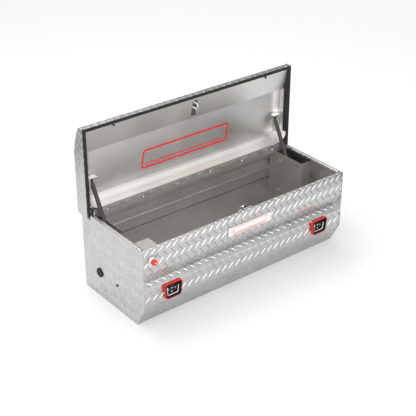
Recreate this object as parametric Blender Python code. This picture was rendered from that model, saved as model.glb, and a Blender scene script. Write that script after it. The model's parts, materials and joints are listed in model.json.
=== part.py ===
"""Aluminium tread plate chest for a truck bed, with its lid standing open.

Metres. X runs along the chest, Y from the front to the back, Z up from the underside.
"""
import math

import bmesh
import bpy
from mathutils import Matrix, Vector

# The body.
BODY_LENGTH = 1.190
BODY_DEPTH = 0.476
RIM_HEIGHT = 0.406
RIM_WIDTH = 0.017
RIM_LIP = 0.012
GROOVE_DEPTH = 0.028
FRONT_TAPER = 0.060
BAR_HEIGHT = 0.0018
TREAD_SHEET = 0.0020
PLAIN_SHEET = 0.0020
BEND = 0.004
CLEARANCE = 0.0003
GROOVE_TOP_SHARE = 0.697
GROOVE_CREASE_SHARE = 0.541
GROOVE_FOOT_SHARE = 0.502
TAPER_TOP_SHARE = 0.277
LEDGE_DROP = 0.028
STEP_SETBACK = 0.005
FLOOR_FLANGE = 0.020
RAIL_PROUD = 0.007
RAIL_SHEET = 0.0015
RAIL_SHARES = (0.783, 0.768, 0.663, 0.527, 0.507, 0.492)

# The lid, measured from the hinge axis.
HINGE_SETBACK = 0.066
HINGE_RISE = 0.004
LID_FRONT_OVERHANG = 0.005
LID_RISE = 0.078
LID_DROP = 0.0205
LID_OVERHANG = 0.011
LIP_SETBACK = 0.0015
LIP_FLANGE = 0.014
LID_BACK_BEND = 0.014
LID_TAIL = 0.014
CAP_FOOT = 0.0174
CROWN_SHARES = ((0.385, 0.998), (0.533, 0.954), (0.615, 0.922), (0.833, 0.807), (1.0, 0.701))
PAN_INSET = 0.005
PAN_DEPTH = 0.066
PAN_ROUND = 0.046
PAN_FLOOR = 0.014
PAN_START = 0.002
PAN_WALL_START = 0.023
CREASE_DEPTH = 0.028
CREASE_SHARE = 0.696
CHANNEL_TUCK = 0.010
SEAL_WIDTH = 0.014
SEAL_THICKNESS = 0.003
SEAL_FOOT = 0.0155
SEAL_LEG = 0.026
SEAL_LEG_SHEET = 0.0014

# The hinge.
HINGE_INSET = 0.020
KNUCKLE_LENGTH = 0.035
KNUCKLE_RADIUS = 0.004
HINGE_PIN_RADIUS = 0.002
HINGE_SHEET = 0.0017
BODY_LEAF = 0.024
LID_LEAF_DEPTH = 0.024
KNUCKLE_ROOM = 0.0048
FLANGE_DROP = 0.006
CURL_DEGREES = 280

# The gas struts and their housings.
STRUT_INSET = 0.046
STRUT_TOP_BACK = 0.044
STRUT_TOP_RISE = 0.139
STRUT_FOOT_FRONT = 0.152
STRUT_FOOT_DROP = 0.230
TUBE_RADIUS = 0.010
TUBE_LENGTH = 0.235
TUBE_WALL = 0.0012
GLAND_LENGTH = 0.010
GLAND_PLAY = 0.0004
ROD_RADIUS = 0.004
ROD_IN_TUBE = 0.038
PISTON_LENGTH = 0.008
EYE_RADIUS = 0.009
EYE_WIDTH = 0.010
NECK_RADIUS = 0.005
NECK_REACH = 0.016
STUD_RADIUS = 0.005
STUD_HEAD_RADIUS = 0.0075
STUD_HEAD = 0.0025
STUD_STOP = 0.0006
HOUSING_INSET = 0.060
HOUSING_REACH = 0.184
HOUSING_DROP = 0.0305
HOUSING_BELOW = 0.051
HOUSING_SHEET = 0.0015
HOUSING_FLOOR_INSET = 0.012
HOUSING_SLOT_LENGTH = 0.025
HOUSING_SLOT_WIDTH = 0.005
HOUSING_SLOT_BACK = 0.033
HOUSING_SLOT_DROP = 0.024
BRACKET_INSET = 0.023
BRACKET_INNER_INSET = 0.068
BRACKET_BELOW = 0.043
BRACKET_ABOVE = 0.018
BRACKET_DEPTH = 0.0293
BRACKET_FLANGE = 0.008

# The push button lock and its linkage.
LOCK_INSET = 0.049
LOCK_DROP = 0.064
ESCUTCHEON_RADIUS = 0.025
ESCUTCHEON_TOP_RADIUS = 0.019
ESCUTCHEON_RISE = 0.008
BARREL_RADIUS = 0.017
BARREL_LENGTH = 0.0112
BUTTON_RADIUS = 0.0135
BUTTON_CHAMFER = 0.0015
BUTTON_PROUD = 0.022
BUTTON_BACK = 0.008
STEM_RADIUS = 0.0025
KEY_RADIUS = 0.0045
KEY_LENGTH = 0.013
KEY_PROUD = 0.0005
KEY_SLOT_WIDTH = 0.0012
KEY_SLOT_LENGTH = 0.006
KEY_SLOT_DEPTH = 0.002
COVER_LENGTH = 0.1177
COVER_DEPTH = 0.1257
COVER_BELOW = 0.034
COVER_DROP = 0.012
COVER_SHEET = 0.002
CRANK_ARM = 0.028
CRANK_OUTPUT = 0.029
CRANK_INSET = 0.015
CRANK_SHEET = 0.003
CRANK_WIDTH = 0.010
CRANK_ROUND = 0.0045
CRANK_PIN_RADIUS = 0.0025
CRANK_POST_RADIUS = 0.005
WIRE_RADIUS = 0.0025
WIRE_SLACK = 0.0006
WIRE_BEND = 0.004
WIRE_PIN = 0.0078
GUIDE_SHARE = 0.437
GUIDE_LENGTH = 0.012
GUIDE_RISE = 0.006

# The latch and the striker.
LATCH_SIDE = 0.007
LOOP_RADIUS = 0.004
LOOP_HEIGHT = 0.028
LOOP_REACH = 0.022
LOOP_INSET = 0.065
LOOP_BEND = 0.008
STRIKER_LENGTH = 0.083
STRIKER_WIDTH = 0.028
STRIKER_SHIFT = 0.006
STRIKER_INSET = 0.108
STRIKER_PLATE = 0.003
ROTOR_RADIUS = 0.016
ROTOR_WIDTH = 0.006
ROTOR_SLOT_PLAY = 0.0005
ROTOR_NOTCH_RADIUS = 0.0025
ROTOR_NOTCH_DEGREES = 290
CASE_LEFT = 0.036
CASE_RIGHT = 0.024
CASE_SHEET = 0.002
CASE_ABOVE = 0.014
CASE_BACK_ABOVE = 0.002
CASE_BELOW = 0.056
CASE_GAP = 0.009
CASE_SLOT_PLAY = 0.0013
CRADLE_START = 0.005
CRADLE_BELOW = 0.008
PAWL_HALF = 0.005
PAWL_REACH = 0.022
PAWL_TIP = 0.002
PAWL_TAIL = 0.0182
PAWL_WIDTH = 0.005
PAWL_PIN_RADIUS = 0.002
NOSE_DEGREES = 200
GUARD_SIDE = -0.0135
GUARD_LENGTH = 0.081
GUARD_TAB = 0.030
GUARD_SHEET = 0.002
GUARD_DROP = 0.022
GUARD_RISE = 0.001

# The lifting handles.
HANDLE_INSET = 0.151
HANDLE_GAP = 0.0038
HANDLE_TOP_WIDTH = 0.104
HANDLE_FOOT_WIDTH = 0.085
HANDLE_TALL = 0.079
HANDLE_CORNER = 0.014
HANDLE_PROUD = 0.012
BEZEL_WALL = 0.0045
DISH_SETBACK = 0.002
DISH_FRAME = 0.006
DISH_DEPTH = 0.022
DISH_WALL = 0.0025
BAIL_RADIUS = 0.003
BAIL_PIVOT_RISE = 0.014
BAIL_HALF_TOP = 0.033
BAIL_HALF_FOOT = 0.028
BAIL_LENGTH = 0.039
BAIL_BEND = 0.007
BAIL_PIN_START = 0.018
BAIL_SETBACK = 0.008
LUG_WIDTH = 0.009
LUG_HEIGHT = 0.012
LUG_INNER = 0.0165

# The small parts.
PLATE_WIDTH = 0.254
PLATE_TALL = 0.044
PLATE_DROP = 0.078
PLATE_CORNER = 0.006
PLATE_THICKNESS = 0.002
GROMMET_SETBACK = 0.064
GROMMET_ABOVE = 0.001
GROMMET_RADIUS = 0.023
GROMMET_RISE = 0.005
GROMMET_NECK = 0.018
PLUG_SETBACK = 0.202
PLUG_RADIUS = 0.0065
PLUG_RISE = 0.002
PLUG_NECK = 0.004
BUMPER_INSET = 0.152
BUMPER_RADIUS = 0.0045
BUMPER_DROP = 0.022
BUMPER_REACH = 0.0034

ROUND = 32
SMALL_ROUND = 20
TINY_ROUND = 12
BEND_STEPS = 3
PAN_STEPS = 6
SMOOTH_ANGLE = math.radians(35)
MERGE = 0.000001

HALF_LENGTH = BODY_LENGTH / 2
FRONT = -BODY_DEPTH / 2
BACK = BODY_DEPTH / 2
HINGE_BACK = BACK - HINGE_SETBACK
HINGE_HEIGHT = RIM_HEIGHT + HINGE_RISE
HINGE_LENGTH = BODY_LENGTH - HINGE_INSET - HINGE_INSET
LID_REACH = HINGE_BACK - FRONT + LID_FRONT_OVERHANG
LEDGE_HEIGHT = RIM_HEIGHT - LEDGE_DROP
PAN_SIDE = HALF_LENGTH - PAN_INSET
STRUT_SIDE = HALF_LENGTH - STRUT_INSET
HOUSING_SIDE = HALF_LENGTH - HOUSING_INSET
HOUSING_FLOOR_END = HALF_LENGTH - HOUSING_FLOOR_INSET
HOUSING_FRONT = HINGE_BACK - HOUSING_REACH
HOUSING_TOP = RIM_HEIGHT - HOUSING_DROP
HOUSING_BOTTOM = HINGE_HEIGHT - STRUT_FOOT_DROP - HOUSING_BELOW
BRACKET_SIDE = HALF_LENGTH - BRACKET_INSET
BRACKET_INNER_SIDE = HALF_LENGTH - BRACKET_INNER_INSET
LOCK_SIDE = LOCK_INSET - HALF_LENGTH
LOCK_HEIGHT = RIM_HEIGHT - LOCK_DROP
COVER_TOP = RIM_HEIGHT - COVER_BELOW
GUIDE_SIDE = -GUIDE_SHARE * HALF_LENGTH
LOOP_START = LID_REACH - LOOP_INSET
STRIKER_START = LID_REACH - STRIKER_INSET
HANDLE_SIDE = HALF_LENGTH - HANDLE_INSET
HANDLE_HEIGHT = GROOVE_FOOT_SHARE * RIM_HEIGHT - HANDLE_TALL / 2 - HANDLE_GAP
PLATE_HEIGHT = RIM_HEIGHT - PLATE_DROP
GROMMET_BACK = HINGE_BACK - GROMMET_SETBACK
GROMMET_HEIGHT = HOUSING_BOTTOM + GROMMET_ABOVE
PLUG_BACK = HINGE_BACK - PLUG_SETBACK
BUMPER_SIDE = HALF_LENGTH - BUMPER_INSET
INSIDE_END = HALF_LENGTH - TREAD_SHEET - CLEARANCE
INSIDE_FRONT = FRONT + TREAD_SHEET + CLEARANCE
INSIDE_BACK = BACK - PLAIN_SHEET - CLEARANCE
RIM_SURFACE = RIM_HEIGHT - BAR_HEIGHT
TREAD_FACE = FRONT - BAR_HEIGHT
ON_TREAD = TREAD_FACE - CLEARANCE
LID_HALF = HALF_LENGTH + LID_OVERHANG
LIP_BACK = HINGE_BACK + LIP_SETBACK
LIP_FRONT = LIP_BACK - BAR_HEIGHT
LID_TOP = HINGE_HEIGHT + LID_REACH
LID_BACK = HINGE_BACK + LID_RISE
LID_FOOT = HINGE_HEIGHT - LID_DROP
HINGE_FRONT = HINGE_BACK - KNUCKLE_RADIUS
PAN_BACK = HINGE_BACK + PAN_DEPTH
PAN_LOW = HINGE_HEIGHT + PAN_FLOOR
CREASE_BACK = HINGE_BACK + CREASE_DEPTH
CREASE_HEIGHT = HINGE_HEIGHT + CREASE_SHARE * LID_REACH
CHANNEL_FRONT = LIP_BACK + TREAD_SHEET + CLEARANCE
SEAL_FACE = LIP_FRONT - CLEARANCE - SEAL_THICKNESS
STRUT_TOP = (HINGE_BACK + STRUT_TOP_BACK, HINGE_HEIGHT + STRUT_TOP_RISE)
STRUT_FOOT = (HINGE_BACK - STRUT_FOOT_FRONT, HINGE_HEIGHT - STRUT_FOOT_DROP)
CRANK_FRONT = FRONT + TREAD_SHEET + CRANK_INSET
CRANK_SIDE = LOCK_SIDE + CRANK_ARM
WIRE_FRONT = CRANK_FRONT + CRANK_OUTPUT
WIRE_HEIGHT = LOCK_HEIGHT + CRANK_SHEET / 2 + CLEARANCE + WIRE_RADIUS
BAR_LINE = HINGE_HEIGHT - LOOP_REACH
CASE_TOP = BAR_LINE + CASE_ABOVE
CASE_BACK_TOP = BAR_LINE + CASE_BACK_ABOVE
CASE_FLOOR = BAR_LINE - CASE_BELOW
CRADLE_TOP = BAR_LINE - CRADLE_BELOW
LATCH_CENTRE = HINGE_BACK - LOOP_START - LOOP_HEIGHT / 2
BAIL_FRONT = FRONT - HANDLE_PROUD + BAIL_SETBACK
BAIL_HEIGHT = HANDLE_HEIGHT + BAIL_PIVOT_RISE


def clear_scene():
    for item in list(bpy.data.objects):
        bpy.data.objects.remove(item, do_unlink=True)


def material(name, colour, roughness, metallic):
    made = bpy.data.materials.get(name)
    if made is None:
        made = bpy.data.materials.new(name)
        made.use_nodes = True
        shader = made.node_tree.nodes["Principled BSDF"]
        shader.inputs["Base Color"].default_value = colour
        shader.inputs["Roughness"].default_value = roughness
        shader.inputs["Metallic"].default_value = metallic
    return made


def aluminium():
    return material("aluminium", (0.62, 0.62, 0.61, 1.0), 0.35, 1.0)


def liner_aluminium():
    return material("liner_aluminium", (0.45, 0.43, 0.42, 1.0), 0.45, 1.0)


def housing_paint():
    return material("housing_paint", (0.18, 0.17, 0.16, 1.0), 0.5, 0.2)


def steel():
    return material("steel", (0.72, 0.73, 0.74, 1.0), 0.25, 1.0)


def black_paint():
    return material("black_paint", (0.03, 0.03, 0.03, 1.0), 0.45, 0.0)


def rubber():
    return material("rubber", (0.02, 0.02, 0.02, 1.0), 0.80, 0.0)


def red_plastic():
    return material("red_plastic", (0.75, 0.02, 0.01, 1.0), 0.35, 0.0)


def black_plastic():
    return material("black_plastic", (0.02, 0.02, 0.02, 1.0), 0.45, 0.0)


def white_paint():
    return material("white_paint", (0.85, 0.85, 0.85, 1.0), 0.40, 0.0)


def pivot(name, spot, parent=None):
    """An empty on a joint's axis, which carries the pieces that move about it."""
    item = bpy.data.objects.new(name, None)
    bpy.context.scene.collection.objects.link(item)
    set_place(item, spot, parent)
    return item


def set_place(item, spot, parent):
    item.location = Vector(spot)
    if parent is not None:
        item.parent = parent
        item.location = Vector(spot) - parent.matrix_world.translation
    bpy.context.view_layer.update()


def add_object(name, build, look=None, origin=(0, 0, 0), parent=None):
    """Turn a closed bmesh given in world places into an object with its origin at the given point."""
    bmesh.ops.remove_doubles(build, verts=build.verts, dist=MERGE)
    bmesh.ops.recalc_face_normals(build, faces=build.faces)
    return link_mesh(name, build, look, origin, parent)


def link_mesh(name, build, look, origin, parent):
    bmesh.ops.translate(build, verts=build.verts, vec=-Vector(origin))
    mesh = bpy.data.meshes.new(name)
    build.to_mesh(mesh)
    build.free()
    item = bpy.data.objects.new(name, mesh)
    bpy.context.scene.collection.objects.link(item)
    set_place(item, origin, parent)
    if look is not None:
        mesh.materials.append(look)
    return item


def apply_step(item, step):
    bpy.context.view_layer.update()
    bpy.context.view_layer.objects.active = item
    bpy.ops.object.modifier_apply(modifier=step.name)


def combine(item, build, operation):
    """Cut, join or intersect an object with a tool shape."""
    tool = add_object("tool", build)
    step = item.modifiers.new(operation.lower(), "BOOLEAN")
    step.operation = operation
    step.solver = "EXACT"
    step.object = tool
    apply_step(item, step)
    bpy.data.objects.remove(tool, do_unlink=True)


def cut(item, build):
    combine(item, build, "DIFFERENCE")


def join(item, build):
    combine(item, build, "UNION")


def fillet(points, radius, closed=False):
    """Round the corners of a path with arcs of the given radius."""
    path = [Vector(point) for point in points]
    count = len(path)
    rounded = []
    for index, here in enumerate(path):
        if not closed and index in (0, count - 1):
            rounded.append(here)
            continue
        before = path[index - 1] - here
        after = path[(index + 1) % count] - here
        half = before.angle(after) / 2
        setback = min(radius / math.tan(half), before.length / 2.2, after.length / 2.2)
        actual = setback * math.tan(half)
        if setback < radius / 20:
            rounded.append(here)
            continue
        middle = (before.normalized() + after.normalized()).normalized()
        centre = here + middle * (actual / math.sin(half))
        start = (here + before.normalized() * setback - centre).normalized()
        finish = (here + after.normalized() * setback - centre).normalized()
        for step in range(BEND_STEPS + 1):
            rounded.append(centre + start.slerp(finish, step / BEND_STEPS) * actual)
    return rounded


def parallel(points, distance):
    """The path beside an open path in a plane, to its left where the distance is positive."""
    paths = [Vector(point) for point in points]
    moved = []
    for index, point in enumerate(paths):
        sides = []
        if index > 0:
            sides.append((point - paths[index - 1]).normalized())
        if index < len(paths) - 1:
            sides.append((paths[index + 1] - point).normalized())
        normals = [Vector((-side.y, side.x)) for side in sides]
        middle = (normals[0] + normals[-1]).normalized()
        moved.append(point + middle * (distance / middle.dot(normals[0])))
    return moved


def sheet(points, left, right, radius=0):
    """The closed outline of a bent sheet that reaches to the left and right of a path."""
    path = fillet(points, radius) if radius > 0 else points
    return parallel(path, left) + list(reversed(parallel(path, -right)))


def place(point, axis, along):
    spots = {"X": (along, point[0], point[1]), "Y": (point[0], along, point[1]),
             "Z": (point[0], point[1], along)}
    return spots[axis]


def prism(outline, axis, low, high):
    """A bmesh of a flat outline carried along an axis."""
    build = bmesh.new()
    lower = [build.verts.new(place(point, axis, low)) for point in outline]
    upper = [build.verts.new(place(point, axis, high)) for point in outline]
    build.faces.new(lower)
    build.faces.new(list(reversed(upper)))
    for index in range(len(outline)):
        after = (index + 1) % len(outline)
        build.faces.new((lower[index], upper[index], upper[after], lower[after]))
    return build


def block(low, high):
    """A bmesh box between two corners, given in any order."""
    near = [min(pair) for pair in zip(low, high)]
    far = [max(pair) for pair in zip(low, high)]
    outline = ((near[0], near[1]), (far[0], near[1]), (far[0], far[1]), (near[0], far[1]))
    return prism(outline, "Z", near[2], far[2])


def turned(profile, axis, centre, sides):
    """A bmesh of a profile of (radius, place along the axis) points, turned about that axis."""
    build = bmesh.new()
    rings = []
    for radius, along in profile:
        count = sides if radius > 0 else 1
        turns = [2 * math.pi * index / sides for index in range(count)]
        spots = [(centre[0] + radius * math.cos(a), centre[1] + radius * math.sin(a)) for a in turns]
        rings.append([build.verts.new(place(spot, axis, along)) for spot in spots])
    pairs = list(zip(rings, rings[1:]))
    if profile[0][0] > 0:
        pairs.append((rings[-1], rings[0]))
    for first, second in pairs:
        for index in range(sides):
            after = (index + 1) % sides
            corners = (first[index % len(first)], first[after % len(first)],
                       second[after % len(second)], second[index % len(second)])
            build.faces.new(list(dict.fromkeys(corners)))
    return build


def cylinder(axis, centre, radius, low, high, sides=SMALL_ROUND):
    return turned(((0, low), (radius, low), (radius, high), (0, high)), axis, centre, sides)


def mirrored(points, side):
    return [(side * point[0], point[1]) for point in points]


def round_wire(points, radius, bend, sides):
    """A bmesh of a round wire along a path with rounded corners."""
    path = fillet(points, bend)
    build = bmesh.new()
    across = (path[1] - path[0]).orthogonal().normalized()
    rings = []
    for index, point in enumerate(path):
        ahead = path[min(index + 1, len(path) - 1)] - point
        behind = point - path[max(index - 1, 0)]
        direction = (ahead.normalized() + behind.normalized()).normalized()
        across = (across - direction * across.dot(direction)).normalized()
        up = direction.cross(across)
        turns = [2 * math.pi * step / sides for step in range(sides)]
        ring = [point + radius * (math.cos(turn) * across + math.sin(turn) * up) for turn in turns]
        rings.append([build.verts.new(spot) for spot in ring])
    for first, second in zip(rings, rings[1:]):
        for index in range(sides):
            after = (index + 1) % sides
            build.faces.new((first[index], first[after], second[after], second[index]))
    build.faces.new(rings[0])
    build.faces.new(list(reversed(rings[-1])))
    return build


def taper_direction():
    return Vector((FRONT_TAPER, -TAPER_TOP_SHARE * RIM_HEIGHT)).normalized()


def taper_line(outward):
    """The two ends of the tapered front's line, moved outward."""
    return parallel(((FRONT, TAPER_TOP_SHARE * RIM_HEIGHT), (FRONT + FRONT_TAPER, 0)), -outward)


def front_path():
    """The outer surface of the front sheet, from the rim's inner lip down to the floor."""
    rim_back = FRONT + RIM_WIDTH
    slope = taper_direction()
    foot = FRONT + FRONT_TAPER + slope.x / slope.y * BAR_HEIGHT
    return [(rim_back, RIM_SURFACE - RIM_LIP), (rim_back, RIM_SURFACE), (FRONT, RIM_SURFACE),
            (FRONT, GROOVE_TOP_SHARE * RIM_HEIGHT),
            (FRONT + GROOVE_DEPTH, GROOVE_CREASE_SHARE * RIM_HEIGHT),
            (FRONT, GROOVE_FOOT_SHARE * RIM_HEIGHT), (FRONT, TAPER_TOP_SHARE * RIM_HEIGHT),
            (foot, BAR_HEIGHT)]


def handle_outline(side, inset):
    """The rounded outline of a handle's bezel, in X and Z, drawn in by an inset."""
    slant = (HANDLE_TOP_WIDTH - HANDLE_FOOT_WIDTH) / 2 / HANDLE_TALL
    top = HANDLE_TALL / 2 - inset
    middle = (HANDLE_TOP_WIDTH + HANDLE_FOOT_WIDTH) / 4 - inset * math.sqrt(1 + slant * slant)
    upper = middle + slant * top
    lower = middle - slant * top
    corners = ((-upper, top), (upper, top), (lower, -top), (-lower, -top))
    points = fillet(corners, max(HANDLE_CORNER - inset, HANDLE_CORNER / 3), closed=True)
    return [(side * HANDLE_SIDE + point[0], HANDLE_HEIGHT + point[1]) for point in points]


def front_panel():
    outline = sheet(front_path(), TREAD_SHEET, BAR_HEIGHT, BEND)
    panel = add_object("front_panel", prism(outline, "X", -INSIDE_END, INSIDE_END), aluminium(),
                       (0, FRONT, RIM_HEIGHT))
    for side in (-1, 1):
        opening = handle_outline(side, BEZEL_WALL + DISH_FRAME - DISH_WALL - CLEARANCE)
        cut(panel, prism(opening, "Y", FRONT - HANDLE_PROUD, FRONT + HANDLE_PROUD))
    reach = BARREL_LENGTH + BARREL_LENGTH
    cut(panel, cylinder("Y", (LOCK_SIDE, LOCK_HEIGHT), BARREL_RADIUS + CLEARANCE, FRONT - reach,
                        FRONT + reach, ROUND))


def end_panel(name, side):
    """An end sheet with a rolled rim, cut to the chest's tapered side view."""
    inner = HALF_LENGTH - RIM_WIDTH
    path = ((inner, RIM_SURFACE - RIM_LIP), (inner, RIM_SURFACE), (HALF_LENGTH, RIM_SURFACE),
            (HALF_LENGTH, 0))
    outline = mirrored(sheet(path, BAR_HEIGHT, TREAD_SHEET, BEND), side)
    panel = add_object(name, prism(outline, "Y", TREAD_FACE, BACK), aluminium(),
                       (side * HALF_LENGTH, 0, 0))
    far = BODY_LENGTH
    taper = taper_line(BAR_HEIGHT)
    slope = taper[1] - taper[0]
    low = taper[1] + slope
    high = taper[0] - slope
    cut(panel, prism((high, low, (high.x - FRONT_TAPER, low.y)), "X", -far, far))
    cut(panel, block((-far, HINGE_BACK - STEP_SETBACK, LEDGE_HEIGHT), (far, BODY_DEPTH, far)))
    shaved = HALF_LENGTH - TREAD_SHEET - CLEARANCE / 2
    lip_back = FRONT + RIM_WIDTH + BAR_HEIGHT + CLEARANCE
    cut(panel, block((side * shaved, -BODY_DEPTH, RIM_SURFACE - RIM_LIP - RIM_LIP),
                     (side * (inner - RIM_WIDTH), lip_back, far)))
    if side < 0:
        for back, radius in ((GROMMET_BACK, GROMMET_NECK), (PLUG_BACK, PLUG_NECK)):
            cut(panel, cylinder("X", (back, GROMMET_HEIGHT), radius + CLEARANCE, -far, 0, ROUND))


def floor_panel():
    slope = taper_direction()
    inside = taper_line(-TREAD_SHEET - CLEARANCE)
    front_foot = inside[1] - slope * (inside[1].y / slope.y)
    front_top = front_foot - slope * FLOOR_FLANGE
    path = (front_top, front_foot, (INSIDE_BACK, 0), (INSIDE_BACK, FLOOR_FLANGE))
    outline = sheet(path, PLAIN_SHEET, 0, BEND)
    add_object("floor_panel", prism(outline, "X", -INSIDE_END, INSIDE_END), aluminium())


def rear_panel():
    """The back wall, the ledge behind the hinge and the flange that carries the hinge."""
    flange_back = HINGE_FRONT + HINGE_SHEET + CLEARANCE + PLAIN_SHEET
    path = ((BACK, 0), (BACK, LEDGE_HEIGHT), (flange_back, LEDGE_HEIGHT),
            (flange_back, HINGE_HEIGHT - FLANGE_DROP))
    outline = sheet(path, PLAIN_SHEET, 0)
    panel = add_object("rear_panel", prism(outline, "X", -INSIDE_END, INSIDE_END), aluminium(),
                       (0, BACK, 0))
    for side in (-1, 1):
        cut(panel, block((side * HINGE_LENGTH / 2, 0, LEDGE_HEIGHT + CLEARANCE),
                         (side * BODY_LENGTH, flange_back + BEND, BODY_LENGTH)))


def rear_rail():
    proud = INSIDE_BACK - RAIL_PROUD
    heights = [share * RIM_HEIGHT for share in RAIL_SHARES]
    path = ((INSIDE_BACK, heights[0]), (INSIDE_BACK, heights[1]), (proud, heights[2]),
            (proud, heights[3]), (INSIDE_BACK, heights[4]), (INSIDE_BACK, heights[5]))
    outline = sheet(path, 0, RAIL_SHEET)
    add_object("rear_rail", prism(outline, "X", -INSIDE_END, INSIDE_END), aluminium())


def curl(turn):
    """Points of a knuckle's outside, from its front round by an angle in degrees."""
    angles = [math.radians(180 + turn * step / TINY_ROUND) for step in range(TINY_ROUND + 1)]
    return [(HINGE_BACK + KNUCKLE_RADIUS * math.cos(angle),
             HINGE_HEIGHT + KNUCKLE_RADIUS * math.sin(angle)) for angle in angles]


def hinge_leaf(name, outline, parent, first_share):
    """A hinge leaf whose knuckles take every second place along the pin."""
    leaf = add_object(name, prism(outline, "X", -HINGE_LENGTH / 2, HINGE_LENGTH / 2), steel(),
                      (0, HINGE_BACK, HINGE_HEIGHT), parent)
    count = int(HINGE_LENGTH // KNUCKLE_LENGTH)
    count -= 1 - count % 2
    start = -count * KNUCKLE_LENGTH / 2
    for index in range(first_share, count, 2):
        low = start + index * KNUCKLE_LENGTH - CLEARANCE / 2
        high = low + KNUCKLE_LENGTH + CLEARANCE
        if index == 0:
            low = -BODY_LENGTH
        if index == count - 1:
            high = BODY_LENGTH
        cut(leaf, block((low, HINGE_BACK - KNUCKLE_ROOM, HINGE_HEIGHT - KNUCKLE_ROOM),
                        (high, HINGE_BACK + KNUCKLE_ROOM, HINGE_HEIGHT + KNUCKLE_ROOM)))


def hinge_body_leaf():
    outline = sheet([(HINGE_FRONT, HINGE_HEIGHT - BODY_LEAF)] + curl(-CURL_DEGREES), 0, HINGE_SHEET)
    hinge_leaf("hinge_body_leaf", outline, None, 1)


def hinge_lid_leaf(lid):
    top = PAN_LOW - CLEARANCE
    path = [(HINGE_FRONT + LID_LEAF_DEPTH, top), (HINGE_FRONT, top)] + curl(CURL_DEGREES)
    hinge_leaf("hinge_lid_leaf", sheet(path, HINGE_SHEET, 0), lid, 0)


def hinge_pin():
    pin = cylinder("X", (HINGE_BACK, HINGE_HEIGHT), HINGE_PIN_RADIUS, -HINGE_LENGTH / 2,
                   HINGE_LENGTH / 2, TINY_ROUND)
    add_object("hinge_pin", pin, steel(), (0, HINGE_BACK, HINGE_HEIGHT))


def lid_path():
    """The outer surface of the lid sheet, from the lip's inner edge over the top to the tail."""
    points = [(LIP_BACK, LID_TOP - LIP_FLANGE), (LIP_BACK, LID_TOP)]
    points += [(HINGE_BACK + back * LID_RISE, HINGE_HEIGHT + up * LID_REACH) for back, up in CROWN_SHARES]
    tail = HINGE_BACK + LID_TAIL
    corner = fillet((points[-1], (LID_BACK, LID_FOOT), (tail, LID_FOOT)), LID_BACK_BEND)
    top = PAN_LOW - CLEARANCE - HINGE_SHEET - CLEARANCE
    return points + [tuple(point) for point in corner[1:]] + [(tail, top)]


def lid_skin(lid):
    half = LID_HALF - TREAD_SHEET - CLEARANCE
    outline = sheet(lid_path(), BAR_HEIGHT, TREAD_SHEET)
    add_object("lid_skin", prism(outline, "X", -half, half), aluminium(),
               (0, HINGE_BACK, HINGE_HEIGHT), lid)


def lid_end_cap(name, side, lid):
    """An end cap with a flange behind the seal and a return into the lid."""
    turn = PAN_SIDE + CLEARANCE + SEAL_LEG_SHEET + CLEARANCE + BAR_HEIGHT
    far_back = LID_BACK + LID_RISE
    path = ((turn, LIP_BACK + SEAL_LEG), (turn, LIP_BACK), (LID_HALF, LIP_BACK), (LID_HALF, far_back))
    outline = mirrored(sheet(path, TREAD_SHEET, BAR_HEIGHT), side)
    cap = add_object(name, prism(outline, "Z", LID_FOOT - LID_RISE, LID_TOP + LID_RISE), aluminium(),
                     (side * LID_HALF, HINGE_BACK, HINGE_HEIGHT), lid)
    outer = parallel(lid_path(), BAR_HEIGHT)
    front = HINGE_BACK - LID_RISE
    foot = HINGE_HEIGHT - CAP_FOOT
    side_view = [(front, outer[1].y)] + outer[1:-1] + [(LIP_FRONT, foot), (front, foot)]
    combine(cap, prism(side_view, "X", -BODY_LENGTH, BODY_LENGTH), "INTERSECT")
    shaved = LID_HALF - TREAD_SHEET - CLEARANCE / 2
    inner = turn - SEAL_WIDTH
    cut(cap, block((side * shaved, front, LID_TOP - LIP_FLANGE - CLEARANCE),
                   (side * inner, far_back, LID_TOP + LID_TOP)))
    cut(cap, block((side * shaved, LIP_BACK + TREAD_SHEET + CLEARANCE, 0),
                   (side * inner, far_back, PAN_LOW + CLEARANCE)))


def lid_pan(lid):
    """The smooth liner: a shallow pan with large bends round its floor, open at front and top."""
    low = PAN_LOW + PLAIN_SHEET
    high = CREASE_HEIGHT - CLEARANCE
    half = PAN_SIDE - PLAIN_SHEET
    front = HINGE_BACK - PAN_START
    build = block((-half, front, low), (half, PAN_BACK - PLAIN_SHEET, high))
    bmesh.ops.recalc_face_normals(build, faces=build.faces)
    open_faces = [face for face in build.faces if face.normal.y < -0.9 or face.normal.z > 0.9]
    bends = [edge for edge in build.edges if not set(edge.link_faces) & set(open_faces)]
    bmesh.ops.bevel(build, geom=bends, offset=PAN_ROUND, segments=PAN_STEPS, profile=0.5,
                    affect="EDGES")
    open_faces = [face for face in build.faces if face.normal.y < -0.99 or face.normal.z > 0.99]
    bmesh.ops.delete(build, geom=open_faces, context="FACES")
    pan = link_mesh("lid_pan", build, liner_aluminium(), (0, HINGE_BACK, HINGE_HEIGHT), lid)
    step = pan.modifiers.new("thickness", "SOLIDIFY")
    step.thickness = PLAIN_SHEET
    step.offset = 1
    step.use_even_offset = True
    apply_step(pan, step)
    cut(pan, block((-BODY_LENGTH, 0, low + PAN_ROUND + CLEARANCE),
                   (BODY_LENGTH, HINGE_BACK + PAN_WALL_START, BODY_LENGTH)))


def channel_path():
    """The front surface of the channel inside the lid's front edge, from its tuck to its step."""
    return [(CHANNEL_FRONT, LID_TOP - CHANNEL_TUCK), (CHANNEL_FRONT, LID_TOP - LIP_FLANGE),
            (CREASE_BACK, CREASE_HEIGHT)]


def channel_line(height):
    """Where the channel's slanted front surface is at a height."""
    top = Vector(channel_path()[1])
    foot = Vector(channel_path()[2])
    return top.lerp(foot, (top.y - height) / (top.y - foot.y)).x


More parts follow.
